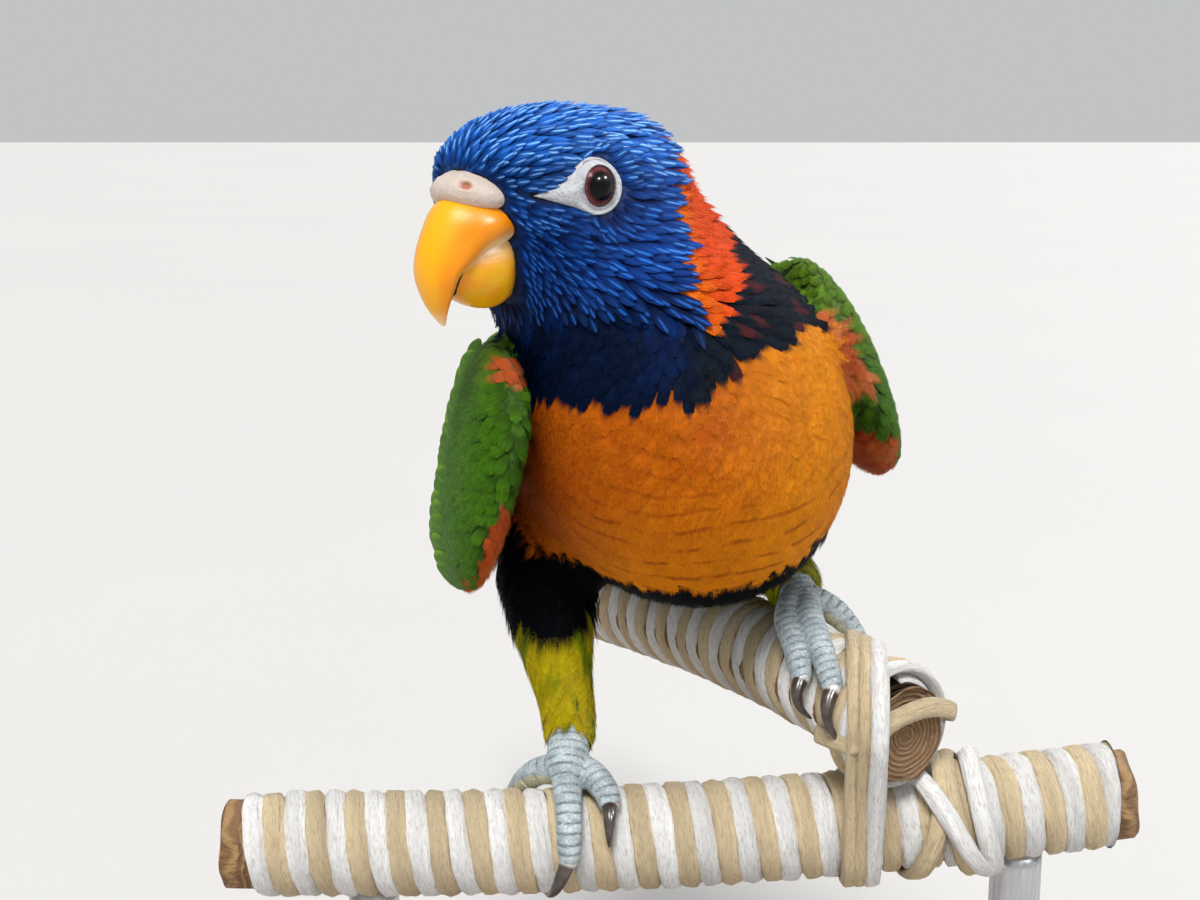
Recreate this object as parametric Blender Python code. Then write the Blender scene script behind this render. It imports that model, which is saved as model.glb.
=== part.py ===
"""Red-collared lorikeet, life size, gripping two cord-wrapped perch rods on a plain display stand.

Sizes and places are in millimetres and are turned into metres as each mesh is made. +Z is up, the bird
faces -Y, and the origin is the middle of the underside of the stand's base.
"""

import math
from collections import namedtuple
from itertools import pairwise

import bmesh
import bpy
from mathutils import Matrix, Vector

MM = 0.001
GAP = 0.35  # clearance between neighbouring pieces

# ---- pose of the bird: turn to its left, pitch up, roll with the left side up ----------------------
BODY_CENTRE = Vector((-1.7, -1.0, 142.0))
BODY_TURN, BODY_PITCH, BODY_ROLL = 12.0, 15.0, 15.0
HEAD_CENTRE = Vector((-19.6, -19.0, 181.0))
HEAD_TURN, HEAD_PITCH, HEAD_ROLL = -45.0, 0.0, 0.0

# ---- perch and stand -----------------------------------------------------------------------------
ROD_RADIUS = 8.3  # over the wrapping
STICK_RADIUS = 6.5
STICK_SHOWS = 3.0  # bare wood past each end of the wrapping
FRONT_ROD_LEFT, FRONT_ROD_RIGHT = -68.0, 68.0
FRONT_ROD_Y, FRONT_ROD_Z = -28.0, 81.0
FRONT_ROD_SLOPE, FRONT_ROD_BOW = 0.045, 0.0006
BACK_ROD_END = Vector((33.6, -36.0, 101.4))
BACK_ROD_RUN = Vector((-0.53, 0.847, -0.015)).normalized()
BACK_ROD_LENGTH, BACK_ROD_BOW = 112.0, 4.2
LASH_DEPTH, LASH_WIDTH = 2.0, 7.0
BASE_WIDTH, BASE_DEPTH, BASE_HEIGHT = 150.0, 132.0, 12.0
BASE_CORNER = 22.0
POST_RADIUS = 4.0
POST_REACH = 6.8  # from the rod's middle line down to the post's top, before it is cut to the wrapping
POSTS_X = (-48.0, 54.0)

Section = namedtuple("Section", "along half_width top bottom")
Plate = namedtuple("Plate", "along side rise half_height half_thick lean")
Arc = namedtuple("Arc", "angle outer inner half_width")
Knot = namedtuple("Knot", "x y z radius")
Grip = namedtuple("Grip", "along angle lift radius")

# Trunk, from the rump to the breast, about the body's own axis.
TRUNK = (
    Section(-72, 7, 3.2, 3.4),
    Section(-65, 11, 6.4, 6),
    Section(-55, 14.5, 11, 9),
    Section(-40, 19.5, 17, 14),
    Section(-25, 23.5, 22, 19.5),
    Section(-10, 26, 25, 25.5),
    Section(5, 27, 28.5, 29),
    Section(18, 26.5, 29, 30.5),
    Section(28, 24, 27, 27.5),
    Section(37, 18, 20.5, 20),
    Section(42, 9, 10, 11),
)
# Head, from the nape to the forehead.
HEAD = (
    Section(-23, 5, 4, 6),
    Section(-19, 12, 10, 12),
    Section(-11, 16, 13.8, 16),
    Section(-2, 17.2, 14.9, 17.5),
    Section(5, 16.4, 14.4, 17.0),
    Section(9.5, 15.0, 13.3, 13.5),
    Section(12.5, 13.0, 11.8, 6.8),
    Section(15.2, 10.8, 10.2, 3.2),
    Section(17.6, 7.6, 8.0, 1.4),
    Section(19.0, 3.8, 5.0, 0.6),
)
# Neck, from inside the trunk to inside the head.
NECK = (
    Knot(4.5, -7, 139, 25),
    Knot(1, -11, 150, 24),
    Knot(-6, -13, 161, 21.5),
    Knot(-13, -15, 171, 19),
    Knot(-18, -18, 178, 16),
)
# Folded wing, from the bend of the wing to the primary tips, for the left side.
WING = (
    Plate(30, 24, 5, 5, 2.2, 18),
    Plate(26, 27, 3.5, 12.5, 4.4, 20),
    Plate(16, 29.5, 1.0, 19, 5.4, 22),
    Plate(2, 30.5, 0.5, 21, 5.4, 22),
    Plate(-18, 26.5, 6.0, 20, 4.6, 36),
    Plate(-42, 19.5, 8.6, 17, 3.6, 47),
    Plate(-66, 13.5, 7.6, 12, 2.8, 57),
    Plate(-90, 9.2, 4.6, 7.8, 2.1, 64),
    Plate(-108, 6.8, 1.8, 4.6, 1.5, 68),
    Plate(-120, 5.2, -0.6, 1.5, 0.8, 70),
)
# How far the front of each wing is held out and up, and how it is tilted.
WING_HELD = {"left": (-1.0, 0.6, -12), "right": (1.8, 2.4, 0)}
TAIL = (
    Section(-54, 9.5, 3.0, 4.2),
    Section(-75, 12.5, 2.4, 3.2),
    Section(-105, 13.0, 1.7, 2.2),
    Section(-135, 10.8, 1.2, 1.5),
    Section(-160, 7.4, 0.9, 1.0),
    Section(-176, 3.6, 0.6, 0.7),
    Section(-181, 1.2, 0.4, 0.4),
)
TAIL_DROOP = 0.055  # fall of the tail's line per unit of length

# Upper bill as a curved horn about a centre in the head's middle plane.
BILL_CENTRE = (12.0, -10.5)  # forward of and above the head's centre
UPPER_BILL = (
    Arc(95, 11.7, 4.4, 7.2),
    Arc(67, 13.6, 4.0, 7.6),
    Arc(50, 14.2, 4.2, 7.2),
    Arc(31.7, 13.9, 5.0, 6.2),
    Arc(13.8, 13.8, 6.4, 5.5),
    Arc(-1.3, 13.4, 8.0, 4.6),
    Arc(-12.4, 13.0, 9.3, 3.6),
    Arc(-22.5, 12.6, 10.4, 2.5),
    Arc(-31, 12.2, 11.3, 1.4),
    Arc(-36.2, 12.0, 11.7, 0.6),
)
LOWER_BILL = (
    Section(9.5, 5.4, 7.2, 5.0),
    Section(14, 6.0, 6.8, 6.2),
    Section(18, 4.9, 4.8, 5.2),
    Section(20.6, 3.4, 2.4, 3.4),
    Section(21.6, 2.1, 1.0, 1.7),
)
LOWER_BILL_RISE = -9.4
CERE_CENTRE, CERE_RADII = Vector((15.0, 0.0, 1.6)), Vector((6.5, 7.4, 3.6))
EYE_PLACE = Vector((4.2, 12.3, 2.5))  # left eyeball's centre
EYE_RADIUS = 4.3

# Feathered legs, from the hip to the ankle, and bare shanks, from the ankle to the sole.
LEGS = {
    "right": (Knot(-17, 3, 127, 13), Knot(-21, -4, 119, 9.6), Knot(-19.8, -10, 111.5, 7.7),
              Knot(-18.2, -16, 103.1, 5.6), Knot(-16.9, -20, 95.6, 3.7)),
    "left": (Knot(9, 9, 130, 12), Knot(14.5, 4, 123, 8.5), Knot(18, 0, 118.3, 5.4),
             Knot(19.4, -4.4, 116, 4.0)),
}
SHANKS = {
    "right": (Knot(-16.8, -15, 98.6, 3.1), Knot(-16.9, -22, 96.6, 3.2), Knot(-17.2, -28.4, 92.6, 3.3)),
    "left": (Knot(19, -3, 117.4, 3.0), Knot(20.2, -8, 116.8, 3.1), Knot(20.8, -13, 115, 3.2)),
}
# Each toe as grips on its rod: place along the rod, angle over it from the top towards the bird's
# front, lift of the toe's line off the wrapping, and radius.
TOES = {
    "right": {
        "inner_front": (Grip(52.4, -12, 2.8, 2.5), Grip(55.0, 6, 2.5, 2.3), Grip(56.9, 24, 2.1, 2.0),
                        Grip(57.5, 37, 1.9, 1.7)),
        "outer_front": (Grip(50.6, -14, 2.9, 2.7), Grip(50.9, 14, 2.3, 2.3), Grip(51.2, 44, 1.9, 2.0),
                        Grip(51.3, 66, 1.8, 1.9), Grip(51.3, 84, 1.6, 1.6)),
        "outer_back": (Grip(49.4, -16, 2.8, 2.5), Grip(46.6, -26, 2.6, 2.2), Grip(44.0, -46, 2.0, 2.0),
                       Grip(42.2, -72, 1.8, 1.8), Grip(41.4, -96, 1.6, 1.5)),
        "inner_back": (Grip(52.2, -22, 2.8, 2.4), Grip(54.2, -50, 2.1, 2.0), Grip(55.0, -78, 1.6, 1.5)),
    },
    "left": {
        "inner_front": (Grip(26.0, 2, 2.6, 2.5), Grip(22.6, 24, 2.2, 2.2), Grip(18.4, 39, 1.9, 2.0),
                        Grip(15.0, 52, 1.8, 1.9), Grip(12.9, 64, 1.6, 1.6)),
        "outer_front": (Grip(27.0, -12, 2.8, 2.7), Grip(21.6, 6, 2.3, 2.3), Grip(15.6, 24, 1.9, 2.0),
                        Grip(10.2, 41, 1.8, 1.9), Grip(6.1, 57, 1.6, 1.6)),
        "outer_back": (Grip(26.4, -16, 2.8, 2.5), Grip(24.0, -34, 2.6, 2.2), Grip(22.4, -52, 2.0, 2.0),
                       Grip(21.8, -76, 1.8, 1.9), Grip(22.4, -98, 1.6, 1.5)),
        "inner_back": (Grip(28.4, -10, 2.6, 2.4), Grip(33.0, -34, 2.0, 2.0), Grip(36.6, -60, 1.6, 1.5)),
    },
}
# Claws leave the toe's last grip: further along the rod, angle gained and closing lift at the point.
CLAWS = {
    "right": {"inner_front": (-0.1, 38, 0.9), "outer_front": (-3.7, 45, 0.9), "outer_back": (-1.0, -40, 0.9),
              "inner_back": (0.4, -44, 0.9)},
    "left": {"inner_front": (-2.7, 33, 0.9), "outer_front": (-3.3, 43, 0.9), "outer_back": (0.6, -40, 0.9),
             "inner_back": (3.0, -38, 0.9)},
}
CLAW_RADIUS, CLAW_HUMP = 1.25, 1.5

# Materials: colour, roughness, metallic.
FINISHES = {
    "blue_feathers": ((0.02, 0.07, 0.33), 0.55, 0.0),
    "dark_feathers": ((0.012, 0.02, 0.045), 0.6, 0.0),
    "orange_feathers": ((0.85, 0.25, 0.02), 0.6, 0.0),
    "green_feathers": ((0.07, 0.22, 0.02), 0.55, 0.0),
    "yellow_feathers": ((0.5, 0.48, 0.03), 0.6, 0.0),
    "bill": ((0.9, 0.42, 0.02), 0.3, 0.0),
    "cere": ((0.78, 0.66, 0.64), 0.5, 0.0),
    "eye": ((0.03, 0.01, 0.01), 0.08, 0.0),
    "foot_skin": ((0.3, 0.34, 0.38), 0.6, 0.0),
    "claw": ((0.05, 0.04, 0.045), 0.3, 0.0),
    "wrapping": ((0.72, 0.64, 0.5), 0.7, 0.0),
    "bare_wood": ((0.22, 0.12, 0.06), 0.7, 0.0),
    "stand_wood": ((0.16, 0.08, 0.04), 0.4, 0.0),
    "stand_metal": ((0.55, 0.55, 0.56), 0.35, 1.0),
}


# ---- small helpers -------------------------------------------------------------------------------
def axes_at(centre, turn, pitch, roll):
    """Matrix from a local frame (x forward, y to the bird's left, z up) to the model's frame."""
    heading = Matrix.Rotation(math.radians(turn - 90), 4, "Z")
    tilt = Matrix.Rotation(math.radians(-pitch), 4, "Y") @ Matrix.Rotation(math.radians(roll), 4, "X")
    return Matrix.Translation(centre) @ heading @ tilt


BODY = axes_at(BODY_CENTRE, BODY_TURN, BODY_PITCH, BODY_ROLL)
SKULL = axes_at(HEAD_CENTRE, HEAD_TURN, HEAD_PITCH, HEAD_ROLL)


def material(name):
    """The named finish as a Principled material, made once."""
    found = bpy.data.materials.get(name)
    if found:
        return found
    colour, roughness, metallic = FINISHES[name]
    made = bpy.data.materials.new(name)
    made.use_nodes = True
    shader = made.node_tree.nodes["Principled BSDF"]
    shader.inputs["Base Color"].default_value = (*colour, 1.0)
    shader.inputs["Roughness"].default_value = roughness
    shader.inputs["Metallic"].default_value = metallic
    made.diffuse_color = (*colour, 1.0)
    return made


def add_object(name, bm, finish=None):
    """Links a bmesh as an object. Without a finish it is a helper that the build leaves out."""
    bmesh.ops.recalc_face_normals(bm, faces=bm.faces)
    mesh = bpy.data.meshes.new(name)
    bm.to_mesh(mesh)
    bm.free()
    made = bpy.data.objects.new(name, mesh)
    bpy.context.scene.collection.objects.link(made)
    if finish:
        mesh.materials.append(material(finish))
        mesh.shade_smooth()
    else:
        made.hide_render = True
        made.display_type = "WIRE"
    return made


def blended(rows, share):
    """Row at a share of the way through the rows, on a Catmull-Rom curve through all of them."""
    place = share * (len(rows) - 1)
    i = min(int(place), len(rows) - 2)
    t = place - i
    near = [rows[max(0, min(len(rows) - 1, i + k))] for k in (-1, 0, 1, 2)]
    values = []
    for a, b, c, d in zip(*near):
        bend = (2 * a - 5 * b + 4 * c - d) * t**2 + (3 * b - a - 3 * c + d) * t**3
        values.append(0.5 * (2 * b + (c - a) * t + bend))
    return type(rows[0])(*values)


def resampled(rows, count):
    return [blended(rows, i / (count - 1)) for i in range(count)]


def solid_over(rings):
    """Closed bmesh over rings of equal length, in millimetres, with a cap at each end."""
    bm = bmesh.new()
    loops = [[bm.verts.new(Vector(p) * MM) for p in ring] for ring in rings]
    for near, far in pairwise(loops):
        for i in range(len(near)):
            j = (i + 1) % len(near)
            bm.faces.new((near[i], near[j], far[j], far[i]))
    bm.faces.new(reversed(loops[0]))
    bm.faces.new(loops[-1])
    return bm


def turns(count):
    return [2 * math.pi * i / count for i in range(count)]


def egg_rings(sections, place, count, sides, rise=0.0, droop=0.0):
    """Rings across the local x axis, whose top and bottom halves have their own depths."""
    rings = []
    for row in resampled(sections, count):
        middle = rise + droop * (row.along - sections[0].along)
        ring = []
        for a in turns(sides):
            depth = row.top if math.sin(a) > 0 else row.bottom
            rise_here = middle + depth * math.sin(a)
            ring.append(place @ Vector((row.along, row.half_width * math.cos(a), rise_here)))
        rings.append(ring)
    return rings


def tube_rings(points, radii, sides):
    """Round rings square to the line through the points, turned along it without twist."""
    rings = []
    side = None
    for i, point in enumerate(points):
        run = (points[min(i + 1, len(points) - 1)] - points[max(i - 1, 0)]).normalized()
        side = (side - run * side.dot(run)).normalized() if side else run.orthogonal().normalized()
        across = run.cross(side)
        rings.append([point + radii[i] * (side * math.cos(a) + across * math.sin(a)) for a in turns(sides)])
    return rings


def knotted_tube(knots, count, sides):
    rows = resampled(knots, count)
    return solid_over(tube_rings([Vector(row[:3]) for row in rows], [row.radius for row in rows], sides))


def evaluated_bmesh(source):
    bm = bmesh.new()
    bm.from_object(source, bpy.context.evaluated_depsgraph_get())
    return bm


def surface_of(verts):
    return sum(face.calc_area() for face in {f for v in verts for f in v.link_faces})


def settle(piece):
    """Applies a piece's modifiers and keeps its largest closed body."""
    bm = evaluated_bmesh(piece)
    left = set(bm.verts)
    islands = []
    while left:
        island, edge = set(), {left.pop()}
        while edge:
            island |= edge
            edge = {e.other_vert(v) for v in edge for e in v.link_edges} - island
        left -= island
        islands.append(island)
    islands.sort(key=surface_of)
    bmesh.ops.delete(bm, geom=[v for island in islands[:-1] for v in island], context="VERTS")
    bmesh.ops.dissolve_degenerate(bm, dist=0.01 * MM, edges=bm.edges)
    piece.modifiers.clear()
    bm.to_mesh(piece.data)
    bm.free()
    return piece


def add_modifier(piece, kind, **settings):
    made = piece.modifiers.new(kind.title(), kind)
    for key, value in settings.items():
        setattr(made, key, value)
    return made


def grown(source, by=GAP):
    """Helper copy of a piece, swollen along its normals, for cutting its neighbours clear of it."""
    bm = evaluated_bmesh(source)
    bm.normal_update()
    for vert in bm.verts:
        vert.co += vert.normal * by * MM
    return add_object("cutter_" + source.name, bm)


def clear_of(piece, *cutters):
    """Cuts a piece back from the cutters."""
    for cutter in cutters:
        add_modifier(piece, "BOOLEAN", operation="DIFFERENCE", solver="EXACT", object=cutter)
    return settle(piece)


def joined(name, bms, finish):
    """One closed solid from overlapping closed bmeshes."""
    first = add_object(name, bms[0], finish)
    helpers = [add_object(f"{name}_{i}", bm) for i, bm in enumerate(bms[1:])]
    for helper in helpers:
        add_modifier(first, "BOOLEAN", operation="UNION", solver="EXACT", object=helper)
    return settle(first)


# ---- bird ------------------------------------------------------------------------------------------
def whole_body():
    """Head, neck and trunk as one smooth skin, before it is parted."""
    bm = solid_over(egg_rings(TRUNK, BODY, 24, 28))
    for part in (solid_over(egg_rings(HEAD, SKULL, 20, 28)), knotted_tube(NECK, 12, 28)):
        mesh = bpy.data.meshes.new("part")
        part.to_mesh(mesh)
        part.free()
        bm.from_mesh(mesh)
    skin = add_object("whole_body", bm)
    add_modifier(skin, "REMESH", mode="VOXEL", voxel_size=1.5 * MM)
    add_modifier(skin, "SMOOTH", factor=0.5, iterations=7)
    add_modifier(skin, "DECIMATE", ratio=0.057)
    return settle(skin)


def parted(name, source, planes, finish):
    """The share of the source on the normals' side of every plane, closed with flat cut faces."""
    bm = evaluated_bmesh(source)
    for point, normal in planes:
        place = (point + normal * GAP / 2) * MM
        cut = bmesh.ops.bisect_plane(
            bm, geom=[*bm.verts, *bm.edges, *bm.faces], dist=1e-6, plane_co=place, plane_no=normal, clear_inner=True
        )
        rim = [e for e in cut["geom_cut"] if isinstance(e, bmesh.types.BMEdge)]
        bmesh.ops.holes_fill(bm, edges=rim, sides=0)
    return add_object(name, bm, finish)


def body_parts(skin):
    """Head, neck and trunk, parted by two thin plane cuts across the neck."""
    head_cut = Vector((-9.5, -18.0, 171.0)), Vector((-0.625, 0.0, 0.78)).normalized()
    neck_cut = Vector((1.0, -19.0, 157.0)), Vector((-0.31, -0.561, 0.768)).normalized()
    flipped = [(point, -normal) for point, normal in (head_cut, neck_cut)]
    head = parted("head", skin, [head_cut, neck_cut], "blue_feathers")
    neck = parted("neck", skin, [flipped[0], neck_cut], "dark_feathers")
    trunk = parted("trunk", skin, [flipped[1]], "orange_feathers")
    return head, neck, trunk


def wing(side):
    """Folded wing as a tapering plate that leans in over the back."""
    sign = 1 if side == "left" else -1
    out, up, tilt = WING_HELD[side]
    rings = []
    for row in resampled(WING, 18):
        share = max(0.0, 1 + row.along / 60)
        lean = math.radians(row.lean + tilt * min(share, 1.0))
        blade = Vector((0, -math.sin(lean) * sign, math.cos(lean)))
        thick = Vector((0, math.cos(lean) * sign, math.sin(lean)))
        middle = Vector((row.along, (row.side + out * share) * sign, row.rise + up * share))
        tall, deep = blade * row.half_height, thick * row.half_thick
        rings.append([BODY @ (middle + tall * math.sin(a) + deep * math.cos(a)) for a in turns(12)])
    return add_object(f"wing_{side}", solid_over(rings), "green_feathers")


def tail():
    rings = egg_rings(TAIL, BODY, 13, 12, rise=-1.0, droop=TAIL_DROOP)
    return add_object("tail", solid_over(rings), "green_feathers")


def upper_bill():
    """Hooked horn: arched cross-sections, narrower at the ridge, swept about the bill's centre."""
    rings = []
    for row in resampled(UPPER_BILL, 17):
        angle = math.radians(row.angle)
        out = Vector((math.cos(angle), 0, math.sin(angle)))
        middle = Vector((BILL_CENTRE[0], 0, BILL_CENTRE[1])) + out * (row.outer + row.inner) / 2
        ring = []
        for a in turns(12):
            narrowing = 1 - 0.3 * (1 + math.sin(a)) / 2
            across = Vector((0, row.half_width * narrowing * math.cos(a), 0))
            ring.append(SKULL @ (middle + out * (row.outer - row.inner) / 2 * math.sin(a) + across))
        rings.append(ring)
    return add_object("bill_upper", solid_over(rings), "bill")


def lower_bill():
    rings = egg_rings(LOWER_BILL, SKULL, 7, 12, rise=LOWER_BILL_RISE)
    return add_object("bill_lower", solid_over(rings), "bill")


def ball(name, place, radii, finish, segments=14, rings=8):
    bm = bmesh.new()
    shape = SKULL @ Matrix.Translation(place) @ Matrix.Diagonal((*radii, 1))
    bmesh.ops.create_uvsphere(bm, u_segments=segments, v_segments=rings, radius=1.0)
    for vert in bm.verts:
        vert.co = shape @ vert.co * MM
    return add_object(name, bm, finish)


def eye(side):
    place = Vector((EYE_PLACE.x, EYE_PLACE.y if side == "left" else -EYE_PLACE.y, EYE_PLACE.z))
    return ball(f"eye_{side}", place, (EYE_RADIUS,) * 3, "eye")


def rod_frame(side, along):
    """Middle of the rod under a foot, and the directions up off it and towards the bird's front."""
    if side == "right":
        return front_rod_point(FRONT_ROD_LEFT + along), Vector((0, 0, 1)), Vector((0, -1, 0))
    forward = Vector((-BACK_ROD_RUN.y, BACK_ROD_RUN.x, 0)).normalized()
    return back_rod_point(along), Vector((0, 0, 1)), forward


def grip_point(side, along, angle, lift):
    middle, up, forward = rod_frame(side, along)
    turn = math.radians(angle)
    return middle + (up * math.cos(turn) + forward * math.sin(turn)) * (ROD_RADIUS + lift)


def toe(side, grips):
    rows = resampled(grips, 2 * len(grips) - 1)
    points = [grip_point(side, row.along, row.angle, row.lift) for row in rows]
    return solid_over(tube_rings(points, [row.radius for row in rows], 7))


def claw(side, digit, foot_cutter):
    """Curved claw that leaves the toe's end, humps and closes on the wrapping."""
    start = TOES[side][digit][-1]
    shift, sweep, close = CLAWS[side][digit]
    points, radii = [], []
    steps = 5
    for i in range(steps + 1):
        t = i / steps
        hump = CLAW_HUMP * math.sin(math.pi * t) + start.lift * (1 - t) + close * t
        points.append(grip_point(side, start.along + shift * t, start.angle + sweep * t, hump))
        radii.append(CLAW_RADIUS * (1 - 0.82 * t**1.4))
    made = add_object(f"claw_{side}_{digit}", solid_over(tube_rings(points, radii, 6)), "claw")
    return clear_of(made, foot_cutter)


def foot(side):
    """Bare shank, sole and four toes."""
    shank = knotted_tube(SHANKS[side], 5, 9)
    toes = [toe(side, grips) for grips in TOES[side].values()]
    return joined(f"foot_{side}", [shank, *toes], "foot_skin")


def leg(side):
    return add_object(f"leg_{side}", knotted_tube(LEGS[side], 8, 12), "yellow_feathers")


# ---- perch -----------------------------------------------------------------------------------------
def front_rod_point(x):
    """Middle line of the front rod, which bows up a little to the right."""
    reach = x + 12
    return Vector((x, FRONT_ROD_Y, FRONT_ROD_Z + FRONT_ROD_SLOPE * reach + FRONT_ROD_BOW * reach**2))


def front_rod_line(past):
    ends = FRONT_ROD_LEFT - past, FRONT_ROD_RIGHT + past
    return [front_rod_point(ends[0] + (ends[1] - ends[0]) * i / 6) for i in range(7)]


def back_rod_point(along):
    """Middle line of the back rod, which humps over the front rod and runs back level."""
    share = min(max(along / BACK_ROD_LENGTH, 0.0), 1.0)
    return BACK_ROD_END + BACK_ROD_RUN * along + Vector((0, 0, BACK_ROD_BOW * math.sin(math.pi * share**0.7)))


def back_rod_line(past):
    ends = -past, BACK_ROD_LENGTH + past
    return [back_rod_point(ends[0] + (ends[1] - ends[0]) * i / 6) for i in range(7)]


def sleeve(name, line, stick):
    """Wrapping of a rod: a tube with a bore that clears the stick."""
    outer = add_object(name, solid_over(tube_rings(line, [ROD_RADIUS] * len(line), 16)), "wrapping")
    return clear_of(outer, grown(stick))


def stick(name, line):
    return add_object(name, solid_over(tube_rings(line, [STICK_RADIUS] * len(line), 12)), "bare_wood")


def hull_loop(points):
    """Convex loop round flat points, as a taut band would take it."""
    ordered = sorted(set(points))

    def half(row):
        kept = []
        for p in row:
            while len(kept) > 1:
                (ax, ay), (bx, by) = kept[-2:]
                if (bx - ax) * (p[1] - ay) - (by - ay) * (p[0] - ax) > 0:
                    break
                kept.pop()
            kept.append(p)
        return kept[:-1]

    return half(ordered) + half(ordered[::-1])


def even_loop(corners, count):
    """Points at even spacing round a closed flat loop."""
    corners = [Vector(c) for c in corners]
    corners.append(corners[0])
    lengths = [(b - a).length for a, b in pairwise(corners)]
    step = sum(lengths) / count
    points, i, walked = [], 0, 0.0
    for k in range(count):
        while walked + lengths[i] < k * step:
            walked += lengths[i]
            i += 1
        points.append(corners[i].lerp(corners[i + 1], (k * step - walked) / lengths[i]))
    return points


def lash_band(middle, heading):
    """Flat taut band in an upright plane, round both rods where they cross."""
    across = Vector((math.cos(math.radians(heading)), math.sin(math.radians(heading)), 0))
    normal = across.cross(Vector((0, 0, 1)))
    flat = []
    rods = ((front_rod_point(middle.x), Vector((1, 0, 0))), (back_rod_point(9.4), BACK_ROD_RUN))
    for point, run in rods:
        centre = point + run * ((middle - point).dot(normal) / run.dot(normal))
        reach = ROD_RADIUS + GAP + 0.1
        for a in turns(48):
            place = centre - middle + across * reach * abs(1 / run.dot(normal)) * math.cos(a)
            flat.append((round(place.dot(across), 4), round(place.z + reach * math.sin(a), 4)))
    loop = even_loop(hull_loop(flat), 28)
    rings = []
    for i, point in enumerate(loop):
        run = (loop[(i + 1) % len(loop)] - loop[i - 1]).normalized()
        out = Vector((run.y, -run.x))
        ring = []
        for width, depth in ((-0.5, 0.0), (-0.36, 1.0), (0.36, 1.0), (0.5, 0.0)):
            at = point + out * depth * LASH_DEPTH
            ring.append(middle + across * at.x + Vector((0, 0, at.y)) + normal * width * LASH_WIDTH)
        rings.append(ring)
    bm = bmesh.new()
    loops = [[bm.verts.new(p * MM) for p in ring] for ring in rings]
    for near, far in pairwise([*loops, loops[0]]):
        for i in range(4):
            j = (i + 1) % 4
            bm.faces.new((near[i], near[j], far[j], far[i]))
    return bm


def lashing():
    """Band of cord that ties the back rod's end down on the front rod."""
    middle = Vector((31.0, -28.0, 93.0))
    return add_object("perch_lashing", lash_band(middle, 84), "wrapping")


# ---- stand -----------------------------------------------------------------------------------------
def stand_base():
    """Flat board with round corners and a bevelled top edge."""
    bm = bmesh.new()
    bmesh.ops.create_cube(bm, size=1.0)
    for vert in bm.verts:
        corner = Vector((vert.co.x * BASE_WIDTH, vert.co.y * BASE_DEPTH, (vert.co.z + 0.5) * BASE_HEIGHT))
        vert.co = corner * MM
    upright = [e for e in bm.edges if abs(e.verts[0].co.z - e.verts[1].co.z) > MM]
    bmesh.ops.bevel(
        bm, geom=upright, offset=BASE_CORNER * MM, offset_type="OFFSET", segments=6, profile=0.5,
        affect="EDGES", material=-1,
    )
    bm.normal_update()
    top = [f for f in bm.faces if f.normal.z > 0.9]
    rim = {e for f in top for e in f.edges if any(abs(g.normal.z) < 0.1 for g in e.link_faces)}
    bmesh.ops.bevel(
        bm, geom=list(rim), offset=2.0 * MM, offset_type="OFFSET", segments=3, profile=0.5,
        affect="EDGES", material=-1,
    )
    return add_object("stand_base", bm, "stand_wood")


def stand_post(name, x, cutter):
    """Upright metal rod from the base to the underside of the front perch rod."""
    top = front_rod_point(x).z - POST_REACH
    line = [Vector((x, FRONT_ROD_Y, BASE_HEIGHT + GAP)), Vector((x, FRONT_ROD_Y, top))]
    post = add_object(name, solid_over(tube_rings(line, [POST_RADIUS] * 2, 16)), "stand_metal")
    return clear_of(post, cutter)


# ---- assembly ----------------------------------------------------------------------------------------
def build_perch():
    front_stick = stick("perch_stick_front", front_rod_line(STICK_SHOWS))
    back_stick = stick("perch_stick_back", back_rod_line(STICK_SHOWS * 0.4))
    front = sleeve("perch_wrap_front", front_rod_line(0), front_stick)
    back = sleeve("perch_wrap_back", back_rod_line(0), back_stick)
    rods = grown(front), grown(back)
    clear_of(back, rods[0])
    ties = clear_of(lashing(), grown(front, 0.3), grown(back, 0.3))
    return {"right": rods[0], "left": rods[1], "ties": grown(ties)}


def build_bird(perch):
    skin = whole_body()
    near_skin = grown(skin)
    head, neck, trunk = body_parts(skin)
    wings = {side: clear_of(wing(side), near_skin) for side in ("left", "right")}
    near_wings = [grown(made) for made in wings.values()]
    clear_of(tail(), near_skin, *near_wings)

    eyes = [eye(side) for side in ("left", "right")]
    clear_of(head, *[grown(made) for made in eyes])
    upper = clear_of(upper_bill(), near_skin)
    near_upper = grown(upper)
    lower = clear_of(lower_bill(), near_skin, near_upper)
    clear_of(ball("cere", CERE_CENTRE, CERE_RADII, "cere", 18, 10), near_skin, near_upper, grown(lower))

    for side in ("left", "right"):
        bare = clear_of(foot(side), *perch.values(), near_skin)
        near_foot = grown(bare)
        clear_of(leg(side), near_skin, near_foot, *near_wings, *perch.values())
        for digit in TOES[side]:
            clear_of(claw(side, digit, near_foot), *perch.values())


def main():
    for old in list(bpy.data.objects):
        bpy.data.objects.remove(old)
    perch = build_perch()
    build_bird(perch)
    stand_base()
    for number, x in enumerate(POSTS_X, start=1):
        stand_post(f"stand_post_{number}", x, perch["right"])


main()
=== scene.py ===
import math
from collections import namedtuple
from functools import cache
from itertools import pairwise

import bmesh
import bpy
import numpy as np
from bpy.props import FloatProperty, FloatVectorProperty, IntProperty, PointerProperty
from mathutils import Matrix, Vector
from mathutils.bvhtree import BVHTree
from mathutils.kdtree import KDTree


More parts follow.
